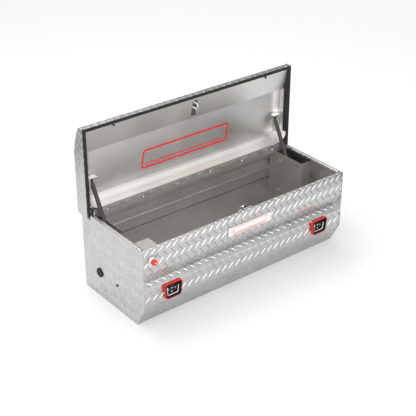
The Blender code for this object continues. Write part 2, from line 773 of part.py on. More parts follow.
def lid_front_channel(lid):
    path = channel_path() + [(PAN_BACK - PLAIN_SHEET, CREASE_HEIGHT)]
    outline = sheet(path, PLAIN_SHEET, 0)
    add_object("lid_front_channel", prism(outline, "X", -PAN_SIDE, PAN_SIDE), aluminium(),
               (0, HINGE_BACK, HINGE_HEIGHT), lid)


def lid_seal_front(lid):
    half = LID_HALF - CLEARANCE
    low = LID_TOP - SEAL_WIDTH
    add_object("lid_seal_front", block((-half, SEAL_FACE, low), (half, SEAL_FACE + SEAL_THICKNESS, LID_TOP)),
               rubber(), (0, HINGE_BACK, HINGE_HEIGHT), lid)


def lid_seal_end(name, side, lid):
    inner = PAN_SIDE + CLEARANCE
    leg = inner + SEAL_LEG_SHEET
    outer = LID_HALF - CLEARANCE
    back = SEAL_FACE + SEAL_THICKNESS
    outline = ((inner, SEAL_FACE), (outer, SEAL_FACE), (outer, back), (leg, back),
               (leg, HINGE_BACK + SEAL_LEG), (inner, HINGE_BACK + SEAL_LEG))
    seal = add_object(name, prism(mirrored(outline, side), "Z", HINGE_HEIGHT - SEAL_FOOT,
                                  LID_TOP - SEAL_WIDTH - CLEARANCE),
                      rubber(), (side * LID_HALF, HINGE_BACK, HINGE_HEIGHT), lid)
    cut(seal, block((0, back, 0), (side * BODY_LENGTH, BODY_LENGTH, PAN_LOW + CLEARANCE)))


def lid_bumper(name, side, lid):
    height = LID_TOP - BUMPER_DROP
    front = HINGE_BACK - BUMPER_REACH
    back = channel_line(height + BUMPER_RADIUS) - CLEARANCE
    profile = ((0, front), (BUMPER_RADIUS, front), (BUMPER_RADIUS, back), (0, back))
    build = turned(profile, "Y", (side * BUMPER_SIDE, height), SMALL_ROUND)
    add_object(name, build, rubber(), (side * BUMPER_SIDE, front, height), lid)


def strut_length():
    return (Vector(STRUT_TOP) - Vector(STRUT_FOOT)).length


def along_strut(profile, side, sides, start):
    """A bmesh of a turned profile whose axis runs down the strut from a distance below its top."""
    build = turned([(radius, along + start) for radius, along in profile], "Z", (0, 0), sides)
    top = Vector((side * STRUT_SIDE,) + STRUT_TOP)
    foot = Vector((side * STRUT_SIDE,) + STRUT_FOOT)
    turn = (foot - top).normalized().to_track_quat("Z", "Y").to_matrix().to_4x4()
    bmesh.ops.transform(build, matrix=Matrix.Translation(top) @ turn, verts=build.verts)
    return build


def strut_tube(name, side, parent):
    length = TUBE_LENGTH
    gland = length - GLAND_LENGTH
    bore = TUBE_RADIUS - TUBE_WALL
    hole = ROD_RADIUS + GLAND_PLAY
    profile = ((0, 0), (TUBE_RADIUS, 0), (TUBE_RADIUS, length), (hole, length), (hole, gland),
               (bore, gland), (bore, TUBE_WALL), (0, TUBE_WALL))
    build = along_strut(profile, side, SMALL_ROUND, NECK_REACH + CLEARANCE)
    add_object(name, build, black_paint(), (side * STRUT_SIDE,) + STRUT_TOP, parent)


def strut_rod(name, side, parent):
    start = NECK_REACH + CLEARANCE + TUBE_LENGTH - ROD_IN_TUBE
    length = strut_length() - NECK_REACH - CLEARANCE - start
    piston = TUBE_RADIUS - TUBE_WALL - CLEARANCE
    profile = ((0, 0), (piston, 0), (piston, PISTON_LENGTH), (ROD_RADIUS, PISTON_LENGTH),
               (ROD_RADIUS, length), (0, length))
    build = along_strut(profile, side, SMALL_ROUND, start)
    add_object(name, build, steel(), (side * STRUT_SIDE,) + STRUT_FOOT, parent)


def strut_socket(name, side, parent, spot, from_top):
    """The eye at one end of a strut, with a neck towards the strut's middle."""
    low = side * (STRUT_SIDE - EYE_WIDTH / 2)
    high = side * (STRUT_SIDE + EYE_WIDTH / 2)
    socket = add_object(name, cylinder("X", spot, EYE_RADIUS, low, high), black_plastic(),
                        (side * STRUT_SIDE,) + spot, parent)
    near = STUD_RADIUS + CLEARANCE * 2
    start = near if from_top else strut_length() - NECK_REACH
    reach = NECK_REACH - near
    neck = ((0, 0), (NECK_RADIUS, 0), (NECK_RADIUS, reach), (0, reach))
    join(socket, along_strut(neck, side, SMALL_ROUND, start))
    cut(socket, cylinder("X", spot, STUD_RADIUS + CLEARANCE, side * HOUSING_SIDE, side * HALF_LENGTH))


def strut_stud_upper(name, side, lid):
    eye = STRUT_SIDE - EYE_WIDTH / 2 - CLEARANCE
    collar = STRUT_SIDE + EYE_WIDTH / 2 + CLEARANCE
    root = BRACKET_SIDE - HOUSING_SHEET - CLEARANCE
    profile = ((0, eye - STUD_HEAD), (STUD_HEAD_RADIUS, eye - STUD_HEAD), (STUD_HEAD_RADIUS, eye),
               (STUD_RADIUS, eye), (STUD_RADIUS, collar), (STUD_HEAD_RADIUS, collar),
               (STUD_HEAD_RADIUS, root), (0, root))
    build = turned([(radius, side * along) for radius, along in profile], "X", STRUT_TOP, SMALL_ROUND)
    add_object(name, build, steel(), (side * STRUT_SIDE,) + STRUT_TOP, lid)


def strut_stud_lower(name, side):
    root = HOUSING_SIDE + HOUSING_SHEET + CLEARANCE
    tip = STRUT_SIDE - EYE_WIDTH / 2 - STUD_STOP
    profile = ((0, root), (STUD_HEAD_RADIUS, root), (STUD_HEAD_RADIUS, root + STUD_HEAD),
               (STUD_RADIUS, root + STUD_HEAD), (STUD_RADIUS, tip), (0, tip))
    build = turned([(radius, side * along) for radius, along in profile], "X", STRUT_FOOT, SMALL_ROUND)
    add_object(name, build, steel(), (side * STRUT_SIDE,) + STRUT_FOOT)


def strut_bracket(name, side, lid):
    low = STRUT_TOP[1] - BRACKET_BELOW
    high = STRUT_TOP[1] + BRACKET_ABOVE
    front = HINGE_BACK + PAN_WALL_START
    path = ((BRACKET_SIDE, low), (BRACKET_SIDE, high), (BRACKET_INNER_SIDE, high))
    outline = mirrored(sheet(path, HOUSING_SHEET, 0), side)
    bracket = add_object(name, prism(outline, "Y", front, front + BRACKET_DEPTH), aluminium(),
                         (side * BRACKET_SIDE,) + STRUT_TOP, lid)
    edge = BRACKET_SIDE - HOUSING_SHEET / 2
    join(bracket, block((side * (BRACKET_SIDE - BRACKET_FLANGE), front, low + HOUSING_SHEET),
                        (side * edge, front + HOUSING_SHEET, high - HOUSING_SHEET / 2)))


def strut(side, label, lid):
    strut_bracket("strut_bracket_" + label, side, lid)
    strut_stud_upper("strut_stud_upper_" + label, side, lid)
    strut_stud_lower("strut_stud_lower_" + label, side)
    tube = pivot("strut_axis_" + label, (side * STRUT_SIDE,) + STRUT_TOP, lid)
    rod = pivot("strut_slide_" + label, (side * STRUT_SIDE,) + STRUT_FOOT, tube)
    strut_tube("strut_tube_" + label, side, tube)
    strut_socket("strut_socket_upper_" + label, side, tube, STRUT_TOP, True)
    strut_rod("strut_rod_" + label, side, rod)
    strut_socket("strut_socket_lower_" + label, side, rod, STRUT_FOOT, False)


def strut_housing(name, side):
    """A guard of folded sheet: an inner wall, a front wall and a floor."""
    outer = INSIDE_END
    wall = HOUSING_SIDE + HOUSING_SHEET
    front = HOUSING_FRONT + HOUSING_SHEET
    housing = add_object(name, block((side * HOUSING_SIDE, HOUSING_FRONT, HOUSING_BOTTOM),
                                     (side * outer, INSIDE_BACK, HOUSING_TOP)),
                         housing_paint(), (side * HOUSING_SIDE, HOUSING_FRONT, HOUSING_BOTTOM))
    cut(housing, block((side * wall, front, HOUSING_BOTTOM + HOUSING_SHEET),
                       (side * BODY_LENGTH, BODY_DEPTH, BODY_LENGTH)))
    cut(housing, block((side * HOUSING_FLOOR_END, front, 0),
                       (side * BODY_LENGTH, BODY_DEPTH, HOUSING_BOTTOM + HOUSING_SHEET * 2)))
    heights = [share * RIM_HEIGHT for share in RAIL_SHARES]
    rail_face = INSIDE_BACK - RAIL_PROUD - RAIL_SHEET - CLEARANCE
    cut(housing, block((0, rail_face, heights[-1] - CLEARANCE),
                       (side * BODY_LENGTH, BODY_DEPTH, heights[0] + CLEARANCE)))
    slot_back = HOUSING_FRONT + HOUSING_SLOT_BACK
    slot_height = HOUSING_TOP - HOUSING_SLOT_DROP
    cut(housing, block((0, slot_back - HOUSING_SLOT_LENGTH / 2, slot_height - HOUSING_SLOT_WIDTH / 2),
                       (side * outer, slot_back + HOUSING_SLOT_LENGTH / 2,
                        slot_height + HOUSING_SLOT_WIDTH / 2)))


def lock_shelf():
    """The cover over the lock, with the post that the crank turns on."""
    high = COVER_TOP
    low = COVER_TOP - COVER_DROP
    right = COVER_LENGTH - INSIDE_END
    back = INSIDE_FRONT + COVER_DEPTH
    cover = add_object("lock_shelf", block((-INSIDE_END, INSIDE_FRONT, low), (right, back, high)),
                       aluminium(), (-INSIDE_END, INSIDE_FRONT, high))
    wall = COVER_SHEET
    cut(cover, block((wall - INSIDE_END, INSIDE_FRONT + wall, 0), (right - wall, back - wall, high - wall)))
    top = LOCK_HEIGHT + CRANK_SHEET / 2 + CLEARANCE
    foot = LOCK_HEIGHT - CRANK_SHEET / 2 - CLEARANCE
    head = foot - CRANK_SHEET
    profile = ((0, high - wall / 2), (CRANK_POST_RADIUS, high - wall / 2), (CRANK_POST_RADIUS, top),
               (CRANK_PIN_RADIUS, top), (CRANK_PIN_RADIUS, foot), (CRANK_POST_RADIUS, foot),
               (CRANK_POST_RADIUS, head), (0, head))
    join(cover, turned(profile, "Z", (CRANK_SIDE, CRANK_FRONT), SMALL_ROUND))


def lock_escutcheon():
    hole = BUTTON_RADIUS + CLEARANCE
    top = ON_TREAD - ESCUTCHEON_RISE
    rim = ON_TREAD - DISH_SETBACK
    barrel = FRONT + BARREL_LENGTH
    profile = ((hole, top), (ESCUTCHEON_TOP_RADIUS, top), (ESCUTCHEON_RADIUS, rim),
               (ESCUTCHEON_RADIUS, ON_TREAD), (BARREL_RADIUS, ON_TREAD), (BARREL_RADIUS, barrel),
               (hole, barrel))
    add_object("lock_escutcheon", turned(profile, "Y", (LOCK_SIDE, LOCK_HEIGHT), ROUND), steel(),
               (LOCK_SIDE, FRONT, LOCK_HEIGHT))


def lock_button(parent):
    face = FRONT - BUTTON_PROUD
    back = FRONT + BUTTON_BACK
    stem = CRANK_FRONT - CRANK_WIDTH / 2 - CLEARANCE
    bore = KEY_RADIUS + CLEARANCE
    depth = face + KEY_LENGTH + CLEARANCE
    profile = ((0, depth), (bore, depth), (bore, face), (BUTTON_RADIUS - BUTTON_CHAMFER, face),
               (BUTTON_RADIUS, face + BUTTON_CHAMFER), (BUTTON_RADIUS, back), (STEM_RADIUS, back),
               (STEM_RADIUS, stem), (0, stem))
    add_object("lock_button", turned(profile, "Y", (LOCK_SIDE, LOCK_HEIGHT), ROUND), red_plastic(),
               (LOCK_SIDE, face, LOCK_HEIGHT), parent)


def key_plug(parent):
    face = FRONT - BUTTON_PROUD - KEY_PROUD
    build = cylinder("Y", (LOCK_SIDE, LOCK_HEIGHT), KEY_RADIUS, face, face + KEY_PROUD + KEY_LENGTH)
    plug = add_object("key_plug", build, steel(), (LOCK_SIDE, face, LOCK_HEIGHT), parent)
    aside = KEY_SLOT_WIDTH / 2
    tall = KEY_SLOT_LENGTH / 2
    cut(plug, block((LOCK_SIDE - aside, face - KEY_SLOT_DEPTH, LOCK_HEIGHT - tall),
                    (LOCK_SIDE + aside, face + KEY_SLOT_DEPTH, LOCK_HEIGHT + tall)))


def lock_crank():
    """A bell crank: its short arm meets the button's stem and its long arm carries the rod."""
    half = CRANK_WIDTH / 2
    path = ((LOCK_SIDE - half, CRANK_FRONT), (CRANK_SIDE, CRANK_FRONT), (CRANK_SIDE, WIRE_FRONT + half))
    outline = fillet(sheet(path, half, half), CRANK_ROUND, closed=True)
    low = LOCK_HEIGHT - CRANK_SHEET / 2
    high = LOCK_HEIGHT + CRANK_SHEET / 2
    crank = add_object("lock_crank", prism(outline, "Z", low, high), steel(),
                       (CRANK_SIDE, CRANK_FRONT, LOCK_HEIGHT))
    for front, radius in ((CRANK_FRONT, CRANK_PIN_RADIUS + CLEARANCE),
                          (WIRE_FRONT, WIRE_RADIUS + CLEARANCE + WIRE_SLACK)):
        cut(crank, cylinder("Z", (CRANK_SIDE, front), radius, 0, BODY_LENGTH))


def release_rod():
    low = WIRE_HEIGHT - WIRE_PIN
    end = pawl_spot().x - PAWL_HALF - CLEARANCE
    path = ((CRANK_SIDE, WIRE_FRONT, low), (CRANK_SIDE, WIRE_FRONT, WIRE_HEIGHT),
            (end, WIRE_FRONT, WIRE_HEIGHT))
    add_object("release_rod", round_wire(path, WIRE_RADIUS, WIRE_BEND, TINY_ROUND), steel(),
               (CRANK_SIDE, WIRE_FRONT, WIRE_HEIGHT))


def rod_guide():
    """A block on the front wall with a hole that the rod slides in."""
    half = GUIDE_LENGTH / 2
    guide = add_object("rod_guide", block((GUIDE_SIDE - half, INSIDE_FRONT, WIRE_HEIGHT - GUIDE_RISE),
                                          (GUIDE_SIDE + half, WIRE_FRONT + GUIDE_RISE,
                                           WIRE_HEIGHT + GUIDE_RISE)),
                       black_plastic(), (GUIDE_SIDE, WIRE_FRONT, WIRE_HEIGHT))
    cut(guide, cylinder("X", (WIRE_FRONT, WIRE_HEIGHT), WIRE_RADIUS + CLEARANCE, -BODY_LENGTH, BODY_LENGTH))


def nose_outward():
    angle = math.radians(NOSE_DEGREES)
    return Vector((math.cos(angle), math.sin(angle)))


def nose_spot():
    """The middle of the pawl's bar where it touches the rotor's rim, in X and Z."""
    return Vector((LATCH_SIDE, BAR_LINE)) + nose_outward() * (ROTOR_RADIUS + CLEARANCE + PAWL_HALF)


def pawl_spot():
    """The pawl's pivot, in X and Z."""
    outward = nose_outward()
    return nose_spot() + Vector((-outward.y, outward.x)) * PAWL_REACH


def latch_pawl():
    spot = pawl_spot()
    reach = (nose_spot() - spot).normalized()
    path = (nose_spot() + reach * PAWL_TIP, spot, (spot.x, spot.y - PAWL_TAIL))
    outline = sheet(path, PAWL_HALF, PAWL_HALF)
    half = PAWL_WIDTH / 2
    pawl = add_object("latch_pawl", prism(outline, "Y", LATCH_CENTRE - half, LATCH_CENTRE + half), steel(),
                      (spot.x, LATCH_CENTRE, spot.y))
    cut(pawl, cylinder("Y", spot, PAWL_PIN_RADIUS + CLEARANCE, -BODY_DEPTH, BODY_DEPTH))


def latch_rotor():
    half = ROTOR_WIDTH / 2
    low = LATCH_CENTRE - half
    high = LATCH_CENTRE + half
    slot = LOOP_RADIUS + ROTOR_SLOT_PLAY
    centre = (LATCH_SIDE, BAR_LINE)
    rotor = add_object("latch_rotor", cylinder("Y", centre, ROTOR_RADIUS, low, high, ROUND), steel(),
                       (LATCH_SIDE, LATCH_CENTRE, BAR_LINE))
    cut(rotor, block((LATCH_SIDE - slot, low - half, BAR_LINE),
                     (LATCH_SIDE + slot, high + half, BAR_LINE + ROTOR_RADIUS * 2)))
    cut(rotor, cylinder("Y", centre, slot, low - half, high + half, ROUND))
    angle = math.radians(ROTOR_NOTCH_DEGREES)
    notch = Vector(centre) + Vector((math.cos(angle), math.sin(angle))) * ROTOR_RADIUS
    cut(rotor, cylinder("Y", notch, ROTOR_NOTCH_RADIUS, low - half, high + half, TINY_ROUND))


def latch_case():
    """A folded case with a back plate, two slotted plates, a cradle for the rotor and the pawl's pin."""
    wall = CASE_SHEET
    front_plate = LATCH_CENTRE - CASE_GAP / 2
    back_plate = LATCH_CENTRE + CASE_GAP / 2
    floor = CASE_FLOOR + wall
    outline = ((INSIDE_FRONT, CASE_FLOOR), (back_plate + wall, CASE_FLOOR), (back_plate + wall, CASE_TOP),
               (back_plate, CASE_TOP), (back_plate, floor), (front_plate, floor), (front_plate, CASE_TOP),
               (front_plate - wall, CASE_TOP), (front_plate - wall, floor), (INSIDE_FRONT + wall, floor),
               (INSIDE_FRONT + wall, CASE_BACK_TOP), (INSIDE_FRONT, CASE_BACK_TOP))
    left = LATCH_SIDE - CASE_LEFT
    right = LATCH_SIDE + CASE_RIGHT
    case = add_object("latch_case", prism(outline, "X", left, right), steel(),
                      (LATCH_SIDE, INSIDE_FRONT, CASE_FLOOR))
    slot = LOOP_RADIUS + CASE_SLOT_PLAY
    reach = CASE_GAP + wall
    centre = (LATCH_SIDE, BAR_LINE)
    cut(case, block((LATCH_SIDE - slot, LATCH_CENTRE - reach, BAR_LINE),
                    (LATCH_SIDE + slot, LATCH_CENTRE + reach, BODY_LENGTH)))
    cut(case, cylinder("Y", centre, slot, LATCH_CENTRE - reach, LATCH_CENTRE + reach, SMALL_ROUND))
    middle = wall / 2
    cradle = add_object("cradle", block((LATCH_SIDE + CRADLE_START, front_plate - middle, floor - middle),
                                        (right, back_plate + middle, CRADLE_TOP)))
    cut(cradle, cylinder("Y", centre, ROTOR_RADIUS + CLEARANCE, -BODY_DEPTH, BODY_DEPTH, ROUND))
    step = case.modifiers.new("cradle", "BOOLEAN")
    step.operation = "UNION"
    step.solver = "EXACT"
    step.object = cradle
    apply_step(case, step)
    bpy.data.objects.remove(cradle, do_unlink=True)
    join(case, cylinder("Y", pawl_spot(), PAWL_PIN_RADIUS, front_plate - middle, back_plate + middle))


def latch_guard():
    """A plate hung on the rim's inner lip, with two tabs up to the rim."""
    front = FRONT + RIM_WIDTH + BAR_HEIGHT + CLEARANCE
    lip = RIM_SURFACE - RIM_LIP
    left = GUARD_SIDE - GUARD_LENGTH / 2
    right = GUARD_SIDE + GUARD_LENGTH / 2
    low = lip - GUARD_DROP
    high = RIM_HEIGHT + GUARD_RISE
    outline = ((left, low), (right, low), (right, high), (right - GUARD_TAB, high),
               (right - GUARD_TAB, lip), (left + GUARD_TAB, lip), (left + GUARD_TAB, high), (left, high))
    add_object("latch_guard", prism(outline, "Y", front, front + GUARD_SHEET), aluminium(),
               (GUARD_SIDE, front, lip))


def striker_face(height, distance):
    """A point at a distance in front of the channel's slanted surface."""
    top, foot = [Vector(point) for point in channel_path()[1:]]
    normal = Vector((foot.y - top.y, top.x - foot.x)).normalized()
    return Vector((channel_line(height), height)) + normal * distance


def striker_plate(lid):
    low = striker_face(HINGE_HEIGHT + STRIKER_START, CLEARANCE)
    high = striker_face(HINGE_HEIGHT + STRIKER_START + STRIKER_LENGTH, CLEARANCE)
    outline = sheet((low, high), STRIKER_PLATE, 0)
    middle = LATCH_SIDE + STRIKER_SHIFT
    plate = add_object("striker_plate", prism(outline, "X", middle - STRIKER_WIDTH / 2,
                                              middle + STRIKER_WIDTH / 2),
                       steel(), (middle, low.x, low.y), lid)
    for height in loop_heights():
        cut(plate, cylinder("Y", (LATCH_SIDE, height), LOOP_RADIUS + CLEARANCE, 0, BODY_LENGTH))


def loop_heights():
    return (HINGE_HEIGHT + LOOP_START + LOOP_HEIGHT, HINGE_HEIGHT + LOOP_START)


def striker_loop(lid):
    upper, lower = loop_heights()
    front = HINGE_BACK - LOOP_REACH
    path = ((LATCH_SIDE, channel_line(upper + LOOP_RADIUS) - CLEARANCE, upper), (LATCH_SIDE, front, upper),
            (LATCH_SIDE, front, lower), (LATCH_SIDE, channel_line(lower + LOOP_RADIUS) - CLEARANCE, lower))
    add_object("striker_loop", round_wire(path, LOOP_RADIUS, LOOP_BEND, TINY_ROUND), steel(),
               (LATCH_SIDE, front, lower), lid)


def handle_bezel(name, side):
    front = FRONT - HANDLE_PROUD
    bezel = add_object(name, prism(handle_outline(side, 0), "Y", front, ON_TREAD), red_plastic(),
                       (side * HANDLE_SIDE, FRONT, HANDLE_HEIGHT))
    cut(bezel, prism(handle_outline(side, BEZEL_WALL), "Y", front - HANDLE_PROUD, FRONT))


def handle_dish(name, side):
    """A moulded dish with a frame on the sheet and two lugs for the bail."""
    front = FRONT - HANDLE_PROUD + DISH_SETBACK
    back = front + DISH_DEPTH
    frame = BEZEL_WALL + DISH_FRAME
    dish = add_object(name, prism(handle_outline(side, BEZEL_WALL + CLEARANCE), "Y", front, ON_TREAD),
                      black_plastic(), (side * HANDLE_SIDE, FRONT, HANDLE_HEIGHT))
    join(dish, prism(handle_outline(side, frame - DISH_WALL), "Y", front + DISH_SETBACK, back + DISH_WALL))
    cut(dish, prism(handle_outline(side, frame), "Y", front - DISH_DEPTH, back))
    for end in (-1, 1):
        inner = side * HANDLE_SIDE + end * LUG_INNER
        outer = inner + end * LUG_WIDTH
        join(dish, block((inner, BAIL_FRONT - LUG_HEIGHT / 2, BAIL_HEIGHT - LUG_HEIGHT / 2),
                         (outer, back + DISH_WALL / 2, BAIL_HEIGHT + LUG_HEIGHT / 2)))
    reach = LUG_INNER + LUG_WIDTH + CLEARANCE
    middle = side * HANDLE_SIDE
    cut(dish, cylinder("X", (BAIL_FRONT, BAIL_HEIGHT), BAIL_RADIUS + CLEARANCE, middle - reach,
                       middle + reach))


def handle_bail(name, side):
    """A bent wire loop whose two ends turn inward into the dish's lugs."""
    middle = side * HANDLE_SIDE
    low = BAIL_HEIGHT - BAIL_LENGTH
    path = ((middle - BAIL_PIN_START, BAIL_FRONT, BAIL_HEIGHT),
            (middle - BAIL_HALF_TOP, BAIL_FRONT, BAIL_HEIGHT),
            (middle - BAIL_HALF_FOOT, BAIL_FRONT, low), (middle + BAIL_HALF_FOOT, BAIL_FRONT, low),
            (middle + BAIL_HALF_TOP, BAIL_FRONT, BAIL_HEIGHT),
            (middle + BAIL_PIN_START, BAIL_FRONT, BAIL_HEIGHT))
    add_object(name, round_wire(path, BAIL_RADIUS, BAIL_BEND, TINY_ROUND), steel(),
               (middle, BAIL_FRONT, BAIL_HEIGHT))


def nameplate():
    half = PLATE_WIDTH / 2
    low = PLATE_HEIGHT - PLATE_TALL / 2
    high = PLATE_HEIGHT + PLATE_TALL / 2
    outline = fillet(((-half, low), (half, low), (half, high), (-half, high)), PLATE_CORNER, closed=True)
    add_object("nameplate", prism(outline, "Y", ON_TREAD - PLATE_THICKNESS, ON_TREAD), white_paint(),
               (0, ON_TREAD, PLATE_HEIGHT))


def push_in_cap(name, back, radius, neck, rise, inside):
    """A rubber cap whose neck holds it in a hole of the left end sheet."""
    outer = -HALF_LENGTH - BAR_HEIGHT - CLEARANCE
    inner = -INSIDE_END + CLEARANCE
    bevel = rise / 2
    profile = ((0, outer - rise), (radius - bevel, outer - rise), (radius, outer - bevel), (radius, outer),
               (neck, outer), (neck, inner), (inside, inner), (neck, inner + rise), (0, inner + rise))
    add_object(name, turned(profile, "X", (back, GROMMET_HEIGHT), ROUND), rubber(),
               (outer, back, GROMMET_HEIGHT))


def soften_all():
    for item in bpy.data.objects:
        if item.type == "MESH":
            item.data.shade_smooth()
            item.data.set_sharp_from_angle(angle=SMOOTH_ANGLE)


def body():
    front_panel()
    end_panel("end_panel_left", -1)
    end_panel("end_panel_right", 1)
    floor_panel()
    rear_panel()
    rear_rail()
    hinge_body_leaf()
    hinge_pin()
    strut_housing("strut_housing_left", -1)
    strut_housing("strut_housing_right", 1)
    nameplate()
    push_in_cap("end_grommet", GROMMET_BACK, GROMMET_RADIUS, GROMMET_NECK, GROMMET_RISE,
                GROMMET_NECK + PLUG_RISE)
    push_in_cap("end_plug", PLUG_BACK, PLUG_RADIUS, PLUG_NECK, PLUG_RISE, PLUG_NECK + PLUG_RISE / 2)


def lock_and_latch():
    lock_shelf()
    lock_escutcheon()
    button = pivot("lock_axis", (LOCK_SIDE, FRONT, LOCK_HEIGHT))
    lock_button(button)
    key_plug(button)
    lock_crank()
    release_rod()
    rod_guide()
    latch_case()
    latch_pawl()
    latch_rotor()
    latch_guard()


def handles():
    for side, label in ((-1, "left"), (1, "right")):
        handle_bezel("handle_bezel_" + label, side)
        handle_dish("handle_dish_" + label, side)
        handle_bail("handle_bail_" + label, side)


def lid_assembly():
    lid = pivot("lid_axis", (0, HINGE_BACK, HINGE_HEIGHT))
    hinge_lid_leaf(lid)
    lid_skin(lid)
    lid_pan(lid)
    lid_front_channel(lid)
    lid_seal_front(lid)
    striker_plate(lid)
    striker_loop(lid)
    for side, label in ((-1, "left"), (1, "right")):
        lid_end_cap("lid_end_cap_" + label, side, lid)
        lid_seal_end("lid_seal_" + label, side, lid)
        lid_bumper("lid_bumper_" + label, side, lid)
        strut(side, label, lid)


clear_scene()
body()
lock_and_latch()
handles()
lid_assembly()
soften_all()
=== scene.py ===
# %% [markdown]
# # A tread plate chest for a truck bed
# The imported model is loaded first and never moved. It already holds every piece of the chest in its
# true place, so this lesson only adds what a camera sees and a solid model leaves out: the raised
# bars of the tread plate, the rivets, and a surface for each metal, paint, rubber and plastic.

# %% Load the frame
import json
import math

import bpy
from mathutils import Matrix, Vector

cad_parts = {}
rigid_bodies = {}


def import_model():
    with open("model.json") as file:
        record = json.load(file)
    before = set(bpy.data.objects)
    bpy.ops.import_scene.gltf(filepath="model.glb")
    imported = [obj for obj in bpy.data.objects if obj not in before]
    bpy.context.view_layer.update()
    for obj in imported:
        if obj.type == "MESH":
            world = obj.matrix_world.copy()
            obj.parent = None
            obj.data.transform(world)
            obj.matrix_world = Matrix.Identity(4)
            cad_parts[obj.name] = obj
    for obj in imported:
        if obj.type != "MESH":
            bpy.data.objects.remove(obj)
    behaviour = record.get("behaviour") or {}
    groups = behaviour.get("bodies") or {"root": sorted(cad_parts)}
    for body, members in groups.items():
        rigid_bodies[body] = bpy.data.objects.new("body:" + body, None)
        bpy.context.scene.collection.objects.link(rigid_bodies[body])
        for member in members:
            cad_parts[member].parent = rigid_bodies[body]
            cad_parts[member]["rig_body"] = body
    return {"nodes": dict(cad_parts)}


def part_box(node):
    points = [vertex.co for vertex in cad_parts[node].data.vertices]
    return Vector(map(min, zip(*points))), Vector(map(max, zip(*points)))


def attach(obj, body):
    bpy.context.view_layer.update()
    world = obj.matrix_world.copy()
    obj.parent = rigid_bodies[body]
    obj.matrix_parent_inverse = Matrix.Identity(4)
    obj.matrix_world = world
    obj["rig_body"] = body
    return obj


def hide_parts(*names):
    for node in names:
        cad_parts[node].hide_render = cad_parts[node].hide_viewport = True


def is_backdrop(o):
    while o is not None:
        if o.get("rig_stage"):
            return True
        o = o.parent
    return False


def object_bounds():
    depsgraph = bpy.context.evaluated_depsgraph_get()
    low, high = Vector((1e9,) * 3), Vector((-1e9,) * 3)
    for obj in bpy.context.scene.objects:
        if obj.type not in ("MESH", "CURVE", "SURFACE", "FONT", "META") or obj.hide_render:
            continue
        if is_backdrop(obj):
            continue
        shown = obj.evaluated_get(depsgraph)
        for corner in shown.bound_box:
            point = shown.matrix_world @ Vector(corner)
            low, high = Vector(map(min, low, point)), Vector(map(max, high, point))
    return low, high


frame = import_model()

nodes = frame["nodes"]
cad_box = [list(corner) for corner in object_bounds()]
MM = 0.001
print("solids", len(nodes), "box", cad_box)

# %% [markdown]
# ## The camera
# The photograph looks down on the front left corner from some way off. Its angles were worked out
# from the chest's own straight edges: a turn round the vertical, a tilt down and a slight roll. Two
# cross products turn these into the camera's three directions, which is steadier than aiming it at
# a point, because the roll is kept.

# %% Place the camera
FRAME_PIXELS = 416
FOCAL_PIXELS = 1027.211
SENSOR = 36.0
FAR_CLIP = 100
CAMERA_SPOT = Vector((-2.6825, -3.28647, 2.68512))
turn, tilt, roll = (math.radians(angle) for angle in (-38.6752, 29.2694, 0.1028))
backward = Vector((math.sin(turn) * math.cos(tilt), -math.cos(turn) * math.cos(tilt),
                   math.sin(tilt)))
level = (-backward).cross(Vector((0, 0, 1))).normalized()
upright = level.cross(-backward)
right = math.cos(roll) * level + math.sin(roll) * upright
up = math.cos(roll) * upright - math.sin(roll) * level
lens = bpy.data.cameras.new("photo_camera")
lens.sensor_width = SENSOR
lens.lens = FOCAL_PIXELS / FRAME_PIXELS * SENSOR
lens.clip_end = FAR_CLIP
camera = bpy.data.objects.new("photo_camera", lens)
aim = Matrix((right, up, backward)).transposed().to_4x4()
camera.matrix_world = Matrix.Translation(CAMERA_SPOT) @ aim
bpy.context.scene.collection.objects.link(camera)
bpy.context.scene.camera = camera
bpy.context.scene.view_settings.view_transform = "Standard"
print("lens", round(lens.lens, 2))

# %% [markdown]
# ## Working on one piece at a time
# Blender's operators act on whatever is selected, so each step first selects just its own piece.
# Inside a piece, points are picked by where they are, as a hand would.


# %% Selection helpers
def take(piece):
    """Select one piece and nothing else."""
    bpy.ops.object.select_all(action="DESELECT")
    piece.select_set(True)
    bpy.context.view_layer.objects.active = piece
    return piece


def open_edit(piece, select="SELECT"):
    """Enter edit mode with all of a piece selected, or none of it."""
    take(piece)
    bpy.ops.object.mode_set(mode="EDIT")
    bpy.ops.mesh.select_all(action=select)


def close_edit():
    """Leave edit mode, which writes the changes into the mesh."""
    bpy.ops.object.mode_set(mode="OBJECT")


def pick(piece, test):
    """Enter edit mode with only the points that pass the test selected."""
    open_edit(piece, "DESELECT")
    close_edit()
    for point in piece.data.vertices:
        point.select = test(point.co)
    bpy.ops.object.mode_set(mode="EDIT")
    bpy.ops.mesh.select_mode(type="VERT")


def settle(piece, name):
    """Put a finished piece's place into its mesh and give it its name."""
    take(piece)
    bpy.ops.object.transform_apply(location=True, rotation=True, scale=True)
    piece.name = name
    piece.data.name = name
    return piece


def apply_step(piece, kind, **settings):
    """Add a modifier, set it and apply it at once."""
    take(piece)
    step = piece.modifiers.new(kind.lower(), kind)
    for key, value in settings.items():
        setattr(step, key, value)
    bpy.ops.object.modifier_apply(modifier=step.name)


def join_pieces(pieces, name):
    """Make several objects one piece."""
    bpy.ops.object.select_all(action="DESELECT")
    for piece in pieces:
        piece.select_set(True)
    bpy.context.view_layer.objects.active = pieces[0]
    bpy.ops.object.join()
    return settle(bpy.context.object, name)


def smooth(piece, degrees=35):
    """Shade gentle bends smooth and leave the sharp ones crisp."""
    take(piece)
    bpy.ops.object.shade_smooth_by_angle(angle=math.radians(degrees))


